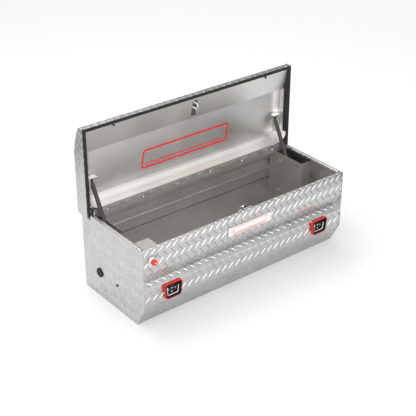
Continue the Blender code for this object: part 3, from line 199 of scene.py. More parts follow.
# %% [markdown]
# ## One bar of the tread plate
# Tread plate is rolled between a plain roller and one with cut pockets, and the metal that flows
# into a pocket stands up as a slender bar with thin ends and a soft ridge, like a roof with hipped
# ends. So the bar starts as a narrow strip, its ends are drawn out almost to points, and the whole
# outline is drawn up in two steps, steeper at the foot than at the ridge. It has a few dozen faces,
# because hundreds of copies follow. Its foot is sunk a little, so that no gap shows on a bend.

# %% Press one bar
BAR_LONG = 41 * MM
BAR_WIDE = 8.4 * MM
BAR_RISE = 1.72 * MM
BAR_ROOT = 0.3 * MM
SLANT = math.radians(45)
# Each step of an end: its share of the bar's length, and how much of the width it keeps.
TIPS = ((0.15, 0.78), (0.05, 0.45))
# Each step upwards: its share of the height, and how much of the length and width it keeps.
LIFTS = ((0.6, 0.96, 0.54), (0.4, 0.96, 0.3))


def pressed_bar(lean):
    """A bar that stands on the sheet at the origin, leaning one way or the other."""
    bpy.ops.object.select_all(action="DESELECT")
    bpy.ops.mesh.primitive_plane_add(size=1, location=(0, 0, -BAR_ROOT))
    bar = bpy.context.object
    bar.scale = (BAR_LONG * (1 - 2 * sum(reach for reach, narrow in TIPS)), BAR_WIDE, 1)
    settle(bar, "bar")
    for end in (-1, 1):
        pick(bar, lambda spot: spot.x * end > 0)
        for reach, narrow in TIPS:
            bpy.ops.mesh.extrude_region_move(
                TRANSFORM_OT_translate={"value": (end * reach * BAR_LONG, 0, 0)})
            bpy.ops.transform.resize(value=(1, narrow, 1))
        close_edit()
    open_edit(bar)
    for lift, along, across in LIFTS:
        rise = lift * (BAR_ROOT + BAR_RISE)
        bpy.ops.mesh.extrude_region_move(TRANSFORM_OT_translate={"value": (0, 0, rise)})
        bpy.ops.transform.resize(value=(along, across, 1))
    bpy.ops.mesh.select_all(action="SELECT")
    bpy.ops.mesh.normals_make_consistent(inside=False)
    close_edit()
    bar.rotation_euler = (0, 0, lean * SLANT)
    return settle(bar, "bar")


# %% [markdown]
# ## The flat blank
# The pattern repeats 39 mm across and 59 mm along. Bars leaning one way stand halfway between rows
# of bars leaning the other way. An Array modifier lays out each set, which is quicker and truer
# than placing hundreds of bars by number.

# %% Lay the bars out flat
ACROSS = 39.4 * MM
ALONG = 58.9 * MM


def laid_bars(lean, across, along, first):
    """Rows of one bar that fill a blank, whose across and along are its (lowest, highest).

    first is where one of the bars is, and the other rows follow from it.
    """
    start = first[0] - math.ceil((first[0] - across[0]) / ACROSS) * ACROSS
    foot = first[1] - math.ceil((first[1] - along[0]) / ALONG) * ALONG
    bar = pressed_bar(lean)
    bar.location = (start, foot, 0)
    settle(bar, "bars")
    columns = math.ceil((across[1] - start) / ACROSS) + 1
    rows = math.ceil((along[1] - foot) / ALONG) + 1
    for count, pitch in ((columns, (ACROSS, 0, 0)), (rows, (0, ALONG, 0))):
        apply_step(bar, "ARRAY", count=count, use_relative_offset=False, use_constant_offset=True,
                   constant_offset_displace=pitch)
    open_edit(bar)
    for edge, cleared in ((along[0], "clear_inner"), (along[1], "clear_outer")):
        bpy.ops.mesh.select_all(action="SELECT")
        bpy.ops.mesh.bisect(plane_co=(0, edge, 0), plane_no=(0, 1, 0), use_fill=True,
                            **{cleared: True})
    close_edit()
    return bar


# %% [markdown]
# ## Folding a blank
# In the works the plate is rolled flat and then folded in a press brake, so its bars bend with it.
# The same is done here: the side view of a panel is a line of straight runs and bends, and every
# point of the flat blank is carried to the same distance along that line. The distance off the
# sheet stays the same, so a bar that crosses a fold bends over it.

# %% Straight runs and bends
BEND_STEPS = 3


def runs_and_bends(points, radius, out):
    """The spans of a folded line as (start, end, place), where place(v, h) is a point on or off it.

    out is 1 where the outer face is on the left of the line and -1 where it is on the right.
    """
    corners = [Vector(point) for point in points]
    spans = []
    reached = 0.0
    here = corners[0]
    for index in range(1, len(corners)):
        ahead = (corners[index] - corners[index - 1]).normalized()
        side = Vector((-ahead.y, ahead.x)) * out
        stop = corners[index]
        bend = None
        if index < len(corners) - 1 and radius > 0:
            after = (corners[index + 1] - corners[index]).normalized()
            angle = ahead.angle(after)
            turn_way = math.copysign(1, ahead.x * after.y - ahead.y * after.x)
            setback = radius * math.tan(angle / 2)
            stop = corners[index] - ahead * setback
            bend = (angle * radius, corners[index] + after * setback)
        length = (stop - here).length
        spans.append((reached, reached + length, straight_run(here, ahead, side, reached)))
        reached += length
        here = stop
        if bend:
            bulge = -turn_way * out
            centre = here - side * radius * bulge
            bent = round_bend(centre, side, radius, bulge, turn_way, reached)
            spans.append((reached, reached + bend[0], bent))
            reached += bend[0]
            here = bend[1]
    return spans


def straight_run(start, ahead, side, reached):
    """Where a point goes on a straight run that begins at the length reached."""
    return lambda v, h: start + ahead * (v - reached) + side * h


def round_bend(centre, side, radius, bulge, turn_way, reached):
    """Where a point goes on a bend; bulge is 1 where the outer face is the convex one."""
    def place(v, h):
        facing = Matrix.Rotation(turn_way * (v - reached) / radius, 2) @ side
        return centre + facing * (radius * bulge + h)
    return place


# %% Fold a blank
# The fold line lies across one axis: u runs along that axis, a and b are the line's own two.
PLACES = {
    "X": lambda u, a, b: (u, a, b),
    "Y": lambda u, a, b: (a, u, b),
    "Z": lambda u, a, b: (a, b, u),
}
TINY = 0.001 * MM


def fold(blank, spans, axis, hand):
    """Carry each point of a flat blank to its place on the folded line."""
    for point in blank.data.vertices:
        u, v, h = point.co
        touching = [place for start, end, place in spans if start - TINY <= v <= end + TINY]
        if not touching:
            touching = [spans[0][2] if v < 0 else spans[-1][2]]
        first = touching[0](v, h)
        last = touching[-1](v, h)
        level_spot = touching[0](v, 0)
        middle = (first + last) / 2 - level_spot
        # At a sharp corner two runs meet, and the point moves out along the mitre between them.
        if len(touching) > 1 and middle.length > TINY and abs(h) > TINY:
            middle *= h * h / middle.length_squared
        spot = level_spot + middle
        x, y, z = PLACES[axis](u, spot.x, spot.y)
        point.co = (x * hand, y, z)
    open_edit(blank)
    bpy.ops.mesh.normals_make_consistent(inside=False)
    close_edit()


# %% [markdown]
# ## The sheet under the bars
# The sheet is one flat plane, scored where each bend starts and ends, given its thickness and then
# folded. Few scores keep the long flats truly flat.

# %% Flat sheet with its bend lines
SHEET = 1.95 * MM
SPARE = 2 * MM


def scored_sheet(spans, across):
    """A flat blank with a score at the end of each run and two more within each bend."""
    end = spans[-1][1]
    bpy.ops.object.select_all(action="DESELECT")
    bpy.ops.mesh.primitive_plane_add(size=1, location=(sum(across) / 2, end / 2, 0))
    blank = bpy.context.object
    blank.scale = (across[1] - across[0] + 2 * SPARE, end + 2 * SPARE, 1)
    settle(blank, "blank")
    lines = []
    for index, (start, stop, place) in enumerate(spans):
        # Every second span is a bend. A line with sharp corners gets these scores on flats instead.
        steps = BEND_STEPS if index % 2 else 1
        lines += [start + (stop - start) * step / steps for step in range(steps)]
    open_edit(blank)
    for line in lines[1:]:
        bpy.ops.mesh.select_all(action="SELECT")
        bpy.ops.mesh.bisect(plane_co=(0, line, 0), plane_no=(0, 1, 0))
    bpy.ops.mesh.select_all(action="SELECT")
    bpy.ops.mesh.extrude_region_move(TRANSFORM_OT_translate={"value": (0, 0, -SHEET)})
    close_edit()
    return blank


# %% Trim to the frame's own outline
MERGE = 0.01 * MM


def trimmed(piece, node):
    """Keep what lies inside a solid of the frame: its ends, its openings and its cut corners."""
    guide = nodes[node].copy()
    guide.data = nodes[node].data.copy()
    guide.parent = None
    bpy.context.scene.collection.objects.link(guide)
    open_edit(guide)
    bpy.ops.mesh.remove_doubles(threshold=MERGE)
    close_edit()
    apply_step(piece, "BOOLEAN", operation="INTERSECT", solver="EXACT", object=guide)
    bpy.data.objects.remove(guide, do_unlink=True)


def tread_panel(name, node, path, radius, out, axis, across, sets, hand=1):
    """A folded tread sheet that takes the place of a plain solid.

    sets holds (lean, where one bar is, from and to along the line) for each field of bars.
    """
    spans = runs_and_bends(path, radius, out)
    sheet = scored_sheet(spans, across)
    fold(sheet, spans, axis, hand)
    trimmed(sheet, node)
    fields = []
    for lean, first, along in sets:
        end = spans[-1][1] if along[1] is None else along[1]
        field = laid_bars(lean, across, (along[0], end), first)
        fold(field, spans, axis, hand)
        trimmed(field, node)
        fields.append(field)
    panel = join_pieces([sheet] + fields, name)
    smooth(panel)
    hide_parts(node)
    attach(panel, nodes[node]["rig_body"])
    print(name, len(panel.data.polygons), "faces, folded length", round(spans[-1][1] / MM), "mm")
    return panel


# %% [markdown]
# ## The front panel
# One sheet makes the whole front: a rolled rim at the top, a flat, a long groove pressed in for
# stiffness, a second flat for the handles and a tapered foot. The rows of bars were read off the
# photograph: they run on over the rim and into the groove, and start afresh below its crease.

# %% Make the front panel
RIM_RADIUS = 4 * MM
FRONT_ACROSS = (-593 * MM, 593 * MM)
front_path = [(-221, 392.2), (-221, 404.2), (-238, 404.2), (-238, 283.0), (-210, 219.65),
              (-238, 203.8), (-238, 112.46), (-178.96, 1.8)]
front_path = [(y * MM, z * MM) for y, z in front_path]
# Lengths along the folded line, just before and just after the groove's crease.
ABOVE_CREASE = 215.6 * MM
BELOW_CREASE = 216.6 * MM
front_sets = [
    (-1, (-578 * MM, 43.8 * MM), (0.0, ABOVE_CREASE)),
    (1, (-516 * MM, 14.35 * MM), (0.0, ABOVE_CREASE)),
    (-1, (-578 * MM, 304.1 * MM), (BELOW_CREASE, None)),
    (1, (-516 * MM, 274.7 * MM), (BELOW_CREASE, None)),
]
front = tread_panel("tread_front", "front_panel", front_path, RIM_RADIUS, -1, "X", FRONT_ACROSS,
                    front_sets)

# %% [markdown]
# ## The two ends
# Each end is a flat sheet with the same rolled rim, cut to the chest's tapered side view. The right
# one is the left one's mirror image, so both come from one drawing and a change of hand.

# %% Make the end panels
END_ACROSS = (-242 * MM, 240 * MM)
end_path = [(578, 392.2), (578, 404.2), (595, 404.2), (595, 0)]
end_path = [(x * MM, z * MM) for x, z in end_path]
end_sets = [
    (1, (-7.0 * MM, 75.8 * MM), (0.0, None)),
    (-1, (7.0 * MM, 44.8 * MM), (0.0, None)),
]
ends = []
for label, hand in (("left", -1), ("right", 1)):
    ends.append(tread_panel("tread_end_" + label, "end_panel_" + label, end_path, RIM_RADIUS, 1,
                            "Y", END_ACROSS, end_sets, hand))

# %% [markdown]
# ## The lid
# The lid's skin runs from the lip that meets the seal, over a gently crowned top and down behind
# the hinge. Its two end caps are folded the other way and close it at the sides. Their folds are
# sharp, so the bend's radius is nought.

# %% Make the lid's skin and end caps
SHARP = 0
LID_ACROSS = (-604 * MM, 604 * MM)
CAP_ACROSS = (380 * MM, 840 * MM)
lid_path = [(173.5, 811), (173.5, 825), (202.0, 824.2), (213.6, 805.9), (220, 792.6), (237, 744.9),
            (250, 700.9), (250, 389.5), (186, 389.5), (186, 421.7)]
lid_path = [(y * MM, z * MM) for y, z in lid_path]
skin_sets = [
    (1, (0.0, 27 * MM), (0.0, None)),
    (-1, (20 * MM, 56.5 * MM), (0.0, None)),
]
lid_skin = tread_panel("tread_lid", "lid_skin", lid_path, SHARP, 1, "X", LID_ACROSS, skin_sets)
cap_path = [(593.8, 199.5), (593.8, 173.5), (606, 173.5), (606, 255)]
cap_path = [(x * MM, y * MM) for x, y in cap_path]
cap_sets = [
    (1, (600 * MM, 60 * MM), (0.0, None)),
    (-1, (614 * MM, 90 * MM), (0.0, None)),
]
caps = []
for label, hand in (("left", -1), ("right", 1)):
    caps.append(tread_panel("tread_cap_" + label, "lid_end_cap_" + label, cap_path, SHARP, -1, "Z",
                            CAP_ACROSS, cap_sets, hand))

# %% [markdown]
# ## Rivets and screws
# Blind rivets have a low domed head. One head is a flattened half ball, turned to face the way it
# was driven from, and then copied to each place, each copy with a mesh of its own.

# %% One head, then many
DOME_ANGLE = 50
FACING = {"front": (math.pi / 2, 0, 0), "up": (0, 0, 0), "left": (0, -math.pi / 2, 0),
          "right": (0, math.pi / 2, 0)}


def round_heads(name, body, spots, facing, radius, rise):
    """Domed heads that face one way, one at each spot, sized in millimetres."""
    bpy.ops.object.select_all(action="DESELECT")
    bpy.ops.mesh.primitive_uv_sphere_add(segments=20, ring_count=12, radius=radius * MM)
    head = bpy.context.object
    open_edit(head)
    bpy.ops.mesh.bisect(plane_co=(0, 0, 0), plane_no=(0, 0, 1), use_fill=True, clear_inner=True)
    bpy.ops.mesh.select_all(action="SELECT")
    bpy.ops.transform.resize(value=(1, 1, rise / radius), center_override=(0, 0, 0))
    close_edit()
    head.rotation_euler = FACING[facing]
    settle(head, name)
    heads = []
    for spot in spots:
        copy = head.copy()
        copy.data = head.data.copy()
        copy.location = Vector(spot) * MM
        bpy.context.scene.collection.objects.link(copy)
        heads.append(copy)
    bpy.data.objects.remove(head, do_unlink=True)
    made = join_pieces(heads, name)
    smooth(made, DOME_ANGLE)
    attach(made, body)
    print(name, len(spots), "heads")
    return made


# %% [markdown]
# ## Where the rivets are
# The hinge strip has a bright rivet every 200 mm and one near each end. Each lid cap is riveted to
# the liner's flange, and each end wall of the liner has a short column of its own. The nameplate
# and the lock's cover have two each, and each handle's dish is held by four.

# %% Rivets
bright = []
strip = [(x, 167.9, 399.0) for x in (-572, -500, -300, -100, 100, 300, 500, 572)]
bright.append(round_heads("hinge_rivets", "root", strip, "front", 5.6, 3.2))
for label, side, facing in (("left", -1, "left"), ("right", 1, "right")):
    column = [(side * 607.6, 181.5, 440 + 60 * step) for step in range(7)]
    bright.append(round_heads("cap_rivets_" + label, "lid", column, facing, 3.2, 0.2))
plate_ends = [(-116, -242.1, 328), (116, -242.1, 328)]
bright.append(round_heads("nameplate_rivets", "root", plate_ends, "front", 3.4, 1.3))
cover = [(-529, -121, 372), (-495, -177, 372)]
bright.append(round_heads("cover_screws", "root", cover, "up", 3.2, 1.6))
HANDLE = (444, 160.5)
for label, side in (("left", -1), ("right", 1)):
    dots = [(side * HANDLE[0] + x, -235.9, HANDLE[1] + z)
            for x, z in ((-18, -2), (0, 2), (18, -1), (0, -16))]
    bright.append(round_heads("pad_rivets_" + label, "root", dots, "front", 4.0, 1.8))
    wall = [(side * 588, 215, z) for z in (590, 615, 640, 665)]
    facing = "left" if side > 0 else "right"
    bright.append(round_heads("liner_rivets_" + label, "lid", wall, facing, 3.0, 1.2))

# %% [markdown]
# ## The printed marks
# The liner and the nameplate each carry a red printed frame with one plain line in it. Ink is only
# a skin, so each mark is a thin flat ring: a plane with its corners rounded, its middle inset and
# taken out, and what is left pulled out a fifth of a millimetre.


# %% Print a frame
INK = 0.2
LINE_ABOVE = 2.6


def flat_mark(name, wide, tall, middle):
    """An upright flat plane that faces the front, in millimetres."""
    bpy.ops.object.select_all(action="DESELECT")
    bpy.ops.mesh.primitive_plane_add(size=1, rotation=(math.pi / 2, 0, 0))
    mark = bpy.context.object
    mark.scale = (wide * MM, tall * MM, 1)
    mark.location = Vector(middle) * MM
    return settle(mark, name)


def pull_out_ink():
    """Give the flat faces in edit mode the thickness of the ink."""
    bpy.ops.mesh.select_all(action="SELECT")
    bpy.ops.mesh.extrude_region_move(TRANSFORM_OT_translate={"value": (0, -INK * MM, 0)})
    bpy.ops.mesh.select_all(action="SELECT")
    bpy.ops.mesh.normals_make_consistent(inside=False)
    close_edit()


def printed_frame(name, body, low, high, front, lean, corner, stroke, line):
    """A thin upright frame, leaning and rounded, with one line near its foot, in millimetres."""
    wide = high[0] - low[0]
    tall = high[1] - low[1]
    across = (low[0] + high[0]) / 2
    middle = (low[1] + high[1]) / 2
    ring = flat_mark(name, wide, tall, (across, front, middle))
    pick(ring, lambda spot: spot.z > middle * MM)
    bpy.ops.transform.translate(value=(lean * MM, 0, 0))
    bpy.ops.mesh.select_all(action="SELECT")
    bpy.ops.mesh.bevel(offset=corner * MM, segments=6, affect="VERTICES")
    bpy.ops.mesh.select_all(action="SELECT")
    bpy.ops.mesh.inset(thickness=stroke * MM)
    bpy.ops.mesh.delete(type="FACE")
    pull_out_ink()
    bar = flat_mark("line", wide - 2 * corner - 2 * stroke, line,
                    (across, front, low[1] + LINE_ABOVE * stroke))
    open_edit(bar)
    bpy.ops.mesh.bevel(offset=line / 3 * MM, segments=3, affect="VERTICES")
    pull_out_ink()
    made = join_pieces([ring, bar], name)
    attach(made, body)
    print(name, wide, "x", tall, "mm")
    return made


ink = [printed_frame("liner_print", "lid", (-264, 501), (251, 596), 235.8, 16, 17, 9.0, 5.0),
       printed_frame("nameplate_print", "root", (-103, 310), (101, 346), -242.3, 5, 7, 2.2, 2.0)]

# %% [markdown]
# ## Inside the handles
# Each dish has a black pad that the four rivets go through, and a black ring lies over the red
# bezel's inner edge. The ring is the bezel's own shape, merged, drawn in and brought forward.

# %% Pads and rings
PAD = (62, 9, 40)
PAD_DEPTH = 231.2
PAD_DROP = 5
PAD_ROUNDING = 3
RING_DRAWN_IN = (0.90, 0.885)
RING_FRONT = 252.4
RING_BACK = 249.9
moulded = []
for label, side in (("left", -1), ("right", 1)):
    bpy.ops.object.select_all(action="DESELECT")
    middle = Vector((side * HANDLE[0], -PAD_DEPTH, HANDLE[1] - PAD_DROP)) * MM
    bpy.ops.mesh.primitive_cube_add(size=1, location=middle)
    pad = bpy.context.object
    pad.scale = Vector(PAD) * MM
    settle(pad, "handle_pad_" + label)
    open_edit(pad)
    bpy.ops.mesh.bevel(offset=PAD_ROUNDING * MM, segments=3)
    close_edit()
    bezel = nodes["handle_bezel_" + label]
    ring = bezel.copy()
    ring.data = bezel.data.copy()
    ring.parent = None
    bpy.context.scene.collection.objects.link(ring)
    settle(ring, "handle_ring_" + label)
    low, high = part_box("handle_bezel_" + label)
    centre = (low + high) / 2
    thick = (RING_FRONT - RING_BACK) * MM / (high.y - low.y)
    forward = -(RING_FRONT + RING_BACK) / 2 * MM - centre.y
    open_edit(ring)
    bpy.ops.mesh.remove_doubles(threshold=MERGE)
    bpy.ops.transform.resize(value=(RING_DRAWN_IN[0], thick, RING_DRAWN_IN[1]),
                             center_override=centre)
    bpy.ops.transform.translate(value=(0, forward, 0))
    close_edit()
    for piece in (pad, ring):
        smooth(piece)
        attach(piece, "root")
        moulded.append(piece)
    print("handle", label, "ring", [round(v / MM, 1) for v in ring.dimensions])

# %% [markdown]
# ## Tabs on the strut guards
# Each guard's inner wall has two half-moon tabs, pushed out where a bolt head sits behind it. A
# tab is a quarter of a flattened ball: half of it would be inside the wall, and of the rest the
# upper half is kept, so its straight side is down.

# %% Push out the tabs
TAB_RADIUS = 11 * MM
TAB_SHAPE = (0.45, 1, 0.75)
TAB_BACK = 151.5
TAB_HEIGHTS = (332, 162)
guard_low, guard_high = (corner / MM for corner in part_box("strut_housing_right"))


def half_moon(side, y, z):
    """One tab on the inner wall of the left or the right guard, in millimetres."""
    bpy.ops.object.select_all(action="DESELECT")
    bpy.ops.mesh.primitive_uv_sphere_add(segments=24, ring_count=12, radius=TAB_RADIUS)
    tab = bpy.context.object
    open_edit(tab)
    bpy.ops.transform.resize(value=TAB_SHAPE)
    for plane, outer in (((1, 0, 0), side > 0), ((0, 0, 1), False)):
        bpy.ops.mesh.select_all(action="SELECT")
        bpy.ops.mesh.bisect(plane_co=(0, 0, 0), plane_no=plane, use_fill=True, clear_outer=outer,
                            clear_inner=not outer)
    close_edit()
    tab.location = Vector((side * guard_low.x, y, z)) * MM
    return settle(tab, "tab")


guards = []
for label, side in (("left", -1), ("right", 1)):
    pair = [half_moon(side, TAB_BACK, height) for height in TAB_HEIGHTS]
    tabs = join_pieces(pair, "guard_tabs_" + label)
    smooth(tabs, DOME_ANGLE)
    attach(tabs, "root")
    guards.append(tabs)
print("tabs on the wall at", round(guard_low.x, 1), "mm")

# %% [markdown]
# ## Small folded and rounded strips
# The rail on the back wall has its top edge hemmed, folded flat on itself, which shows as a thin
# bright line. A thin dark rubber strip along its bottom edge is a painted shadow line under the
# rail, and a dark rubber strip just behind the face of the slot in each guard is painted shade for
# the slot. Each strip is a block drawn to its size and rounded along its edges.

# %% Hem, painted shadow line and painted slot shade
STRIP_ROUNDING = {"hem": 1.1, "painted_shadow": 0.6, "slot": 0.3}
HEM_HEIGHTS = (268.0, 272.0)
SHADOW_STRIP_HEIGHTS = (210.0, 213.4)
SLOT_IN = (0.4, 1.3)
SLOT_BACK = (21, 45)
SLOT_BELOW_TOP = (26.2, 21.8)


def rounded_strip(name, slot, low, high, radius):
    """A strip between two corners, in millimetres, with its edges rounded."""
    bpy.ops.object.select_all(action="DESELECT")
    low, high = Vector(low) * MM, Vector(high) * MM
    bpy.ops.mesh.primitive_cube_add(size=1, location=(low + high) / 2)
    strip = bpy.context.object
    strip.scale = high - low
    settle(strip, name)
    open_edit(strip)
    bpy.ops.mesh.bevel(offset=radius * MM, segments=3)
    close_edit()
    smooth(strip)
    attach(strip, "root")
    print(name, [round(v / MM, 1) for v in strip.dimensions], "mm")
    return strip


rail_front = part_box("rear_rail")[0].y / MM
hem = rounded_strip("rail_hem", "aluminium",
                    (-guard_low.x, rail_front - 1.6, HEM_HEIGHTS[0]),
                    (guard_low.x, rail_front + 1.0, HEM_HEIGHTS[1]), STRIP_ROUNDING["hem"])
# A thin dark rubber strip along the rail's foot: a painted shadow line.
rail_shadow_strip = rounded_strip("rail_painted_shadow", "rubber",
                        (-guard_low.x, rail_front - 0.6, SHADOW_STRIP_HEIGHTS[0]),
                        (guard_low.x, rail_front + 1.0, SHADOW_STRIP_HEIGHTS[1]), STRIP_ROUNDING["painted_shadow"])
# Dark rubber strips just behind the guards' slots: painted shade for the slots.
slot_shade_strips = []
for label, side in (("left", -1), ("right", 1)):
    reach = sorted(side * (guard_low.x + depth) for depth in SLOT_IN)
    ends_of_strip = [(reach[end], guard_low.y + SLOT_BACK[end], guard_high.z - SLOT_BELOW_TOP[end])
                     for end in (0, 1)]
    slot_shade_strips.append(rounded_strip("slot_painted_shade_" + label, "rubber", *ends_of_strip,
                                     STRIP_ROUNDING["slot"]))

# %% [markdown]
# ## Surfaces
# A finish starts from what the real one is. Colours are written as they look on a screen and turned
# into light by one function, and one more adds a node with its settings and links.


# %% Colour and node helpers
def light(code):
    """A screen colour such as "#c4c4c4" as linear light."""
    shares = [int(code[start:start + 2], 16) / 255 for start in (1, 3, 5)]
    linear = [s / 12.92 if s <= 0.04045 else ((s + 0.055) / 1.055) ** 2.4 for s in shares]
    return (*linear, 1.0)


def add(tree, kind, inputs=None, **settings):
    """Add a node, set it up, and fill or link its inputs."""
    made = tree.nodes.new(kind)
    for key, value in settings.items():
        setattr(made, key, value)
    for key, value in (inputs or {}).items():
        if isinstance(value, bpy.types.NodeSocket):
            tree.links.new(value, made.inputs[key])
        else:
            made.inputs[key].default_value = value
    return made


# %% [markdown]
# ## How a finish varies
# No real surface is one flat colour. Each finish below drifts between two near colours in patches
# some centimetres wide, its gloss drifts with it, and a fine grain tilts the surface. The scales
# come from real sizes: the noise scale is how many patches fit in a metre. Where an edge has a
# colour of its own, the Bevel node finds the edge: its rounded normal leaves the true one there.
# On the rail that edge colour is a painted highlight.

# %% A finish with patches and grain
PATCH_EDGES = (0.35, 0.65)
GLOSS_EDGES = (0.3, 0.7)
EDGE_BAND = 1.2 * MM
EDGE_FOUND = (0.97, 0.85)
STRONGEST_EDGE_MARK = 0.8


def finish(name, dark, pale, patch, rough, grain, depth, metallic=0.0, stretch=(1, 1, 1),
           edge=None):
    """A shader whose colour and roughness drift in patches and whose grain tilts it.

    patch and grain are sizes in metres, rough is the lowest and highest roughness, depth is how
    high the grain stands, stretch draws the grain out, and edge is a colour along the edges: a
    painted highlight on the rail, each other finish's own edge colour elsewhere.
    """
    made = bpy.data.materials.new(name)
    made.use_nodes = True
    tree = made.node_tree
    shader = tree.nodes["Principled BSDF"]
    shader.inputs["Metallic"].default_value = metallic
    place = add(tree, "ShaderNodeTexCoord")
    drift = add(tree, "ShaderNodeTexNoise", {"Vector": place.outputs["Object"],
                                             "Scale": 1 / patch, "Detail": 4.0, "Roughness": 0.55})
    shade = add(tree, "ShaderNodeValToRGB", {"Fac": drift.outputs["Fac"]})
    for stop, position, code in zip(shade.color_ramp.elements, PATCH_EDGES, (dark, pale)):
        stop.position = position
        stop.color = light(code)
    colour = shade.outputs["Color"]
    drawn = add(tree, "ShaderNodeMapping", {"Vector": place.outputs["Object"], "Scale": stretch})
    fine = add(tree, "ShaderNodeTexNoise", {"Vector": drawn.outputs["Vector"],
                                            "Scale": 1 / grain, "Detail": 3.0})
    gloss = add(tree, "ShaderNodeMapRange", {"Value": drift.outputs["Fac"],
                                             "From Min": GLOSS_EDGES[0],
                                             "From Max": GLOSS_EDGES[1],
                                             "To Min": rough[0], "To Max": rough[1]})
    tilted = add(tree, "ShaderNodeBump", {"Height": fine.outputs["Fac"], "Distance": depth,
                                          "Strength": 1.0})
    # Edge colour: a painted highlight on the rail, the finish's own edge colour elsewhere.
    if edge is not None:
        soft = add(tree, "ShaderNodeBevel", {"Radius": EDGE_BAND}, samples=4)
        true = add(tree, "ShaderNodeNewGeometry")
        same = add(tree, "ShaderNodeVectorMath",
                   {0: soft.outputs["Normal"], 1: true.outputs["Normal"]}, operation="DOT_PRODUCT")
        edge_mask = add(tree, "ShaderNodeMapRange", {"Value": same.outputs["Value"],
                                                "From Min": EDGE_FOUND[0],
                                                "From Max": EDGE_FOUND[1],
                                                "To Min": 0.0, "To Max": STRONGEST_EDGE_MARK})
        edge_wear_and_highlight = add(tree, "ShaderNodeMath", {0: edge_mask.outputs["Result"], 1: drift.outputs["Fac"]},
                     operation="MULTIPLY")
        mix = add(tree, "ShaderNodeMix",
                  {"Factor": edge_wear_and_highlight.outputs["Value"], 6: colour, 7: light(edge)}, data_type="RGBA")
        colour = mix.outputs[2]
    tree.links.new(colour, shader.inputs["Base Color"])
    tree.links.new(gloss.outputs["Result"], shader.inputs["Roughness"])
    tree.links.new(tilted.outputs["Normal"], shader.inputs["Normal"])
    return made


# %% [markdown]
# ## The finishes of this chest
# Bright rolled 3003 aluminium for the tread, plain mill-finish sheet for the liner and inside, a
# brown-grey powder coat on the strut guards, zinc-plated steel for the hardware, black stove enamel
# on the strut tubes, EPDM rubber for the seal, and moulded ABS and nylon for the coloured pieces.

# %% Mix the finishes of the metals
ROLLED = (0.04, 1, 1)
# Rolled bright, then lightly scuffed: clear reflections, softened by the roller's fine lines.
TREAD = finish("rolled_tread_aluminium", "#cdcdcc", "#d8d8d7", patch=60 * MM, rough=(0.26, 0.33),
               grain=1.6 * MM, depth=0.02 * MM, metallic=1.0)
# Plain sheet has long faint lines along the way it was rolled, and a soft sheen.
LINER = finish("mill_finish_aluminium", "#f2f0ed", "#faf8f5", patch=180 * MM, rough=(0.38, 0.46),
               grain=1.2 * MM, depth=0.012 * MM, metallic=1.0, stretch=ROLLED)
# The same sheet inside the body, its colour darkened as painted shade for the inside of the box.
INSIDE = finish("mill_aluminium_painted_shade", "#d0cdcb", "#d8d5d3", patch=140 * MM, rough=(0.44, 0.52),
                grain=1.2 * MM, depth=0.012 * MM, metallic=1.0, stretch=ROLLED)
# The rail is the same sheet darkened as painted shade, and its edges are whitened as a painted
# highlight.
RAIL = finish("rail_aluminium_painted_shade_and_highlight", "#d4d1ce", "#dedbd8", patch=140 * MM, rough=(0.40, 0.48),
              grain=1.2 * MM, depth=0.012 * MM, metallic=1.0, stretch=ROLLED, edge="#ffffff")
# Powder coat with metal flake in it: an even satin, rubbed paler along the edges.
GUARD = finish("powder_coated_sheet", "#aca7a2", "#b6b1ac", patch=90 * MM, rough=(0.42, 0.52),
               grain=0.9 * MM, depth=0.02 * MM, metallic=0.6, edge="#c9c7c4")
# Bright zinc plate is close to a mirror, with a fine haze.
BRIGHT = finish("bright_zinc_steel", "#dfe0e2", "#efeff0", patch=20 * MM, rough=(0.14, 0.24),
                grain=0.8 * MM, depth=0.008 * MM, metallic=1.0)
# Hinge strip is drawn lengthwise and left matt.
STRIP = finish("plain_hinge_steel", "#d6d3d0", "#e0dddb", patch=60 * MM, rough=(0.46, 0.54),
               grain=1.0 * MM, depth=0.006 * MM, metallic=1.0, stretch=(0.1, 1, 1))

# %% Mix the finishes of paint, rubber and plastic
# Baked enamel is smooth and dark, with grey where the edges are rubbed.
TUBE = finish("black_stove_enamel", "#3b3937", "#45423f", patch=40 * MM, rough=(0.34, 0.44),
              grain=0.8 * MM, depth=0.01 * MM, edge="#76726d")
# Extruded sponge rubber is matt, and its skin is slightly uneven.
RUBBER = finish("epdm_rubber", "#232323", "#2f2f2f", patch=30 * MM, rough=(0.68, 0.85),
                grain=0.7 * MM, depth=0.05 * MM)
# Moulded ABS has an even colour and a soft gloss, a little paler on its edges.
RED = finish("red_moulded_abs", "#e8231a", "#f32c21", patch=30 * MM, rough=(0.30, 0.40),
             grain=0.8 * MM, depth=0.012 * MM, edge="#ff6a5c")
# Glass-filled nylon is nearly black, with the fine grain of its mould.
NYLON = finish("black_glass_nylon", "#161616", "#202020", patch=25 * MM, rough=(0.42, 0.55),
               grain=0.8 * MM, depth=0.03 * MM)
# A coated plate is smooth, white and slightly glossy.
WHITE = finish("white_printed_plate", "#f1f1f1", "#f8f8f8", patch=40 * MM, rough=(0.30, 0.40),
               grain=0.9 * MM, depth=0.01 * MM)
# Screen ink lies on top as a flat, clear red skin.
INK_RED = finish("red_screen_ink", "#f22c24", "#fa362c", patch=30 * MM, rough=(0.38, 0.48),
                 grain=0.8 * MM, depth=0.01 * MM)
print("finishes", len(bpy.data.materials))

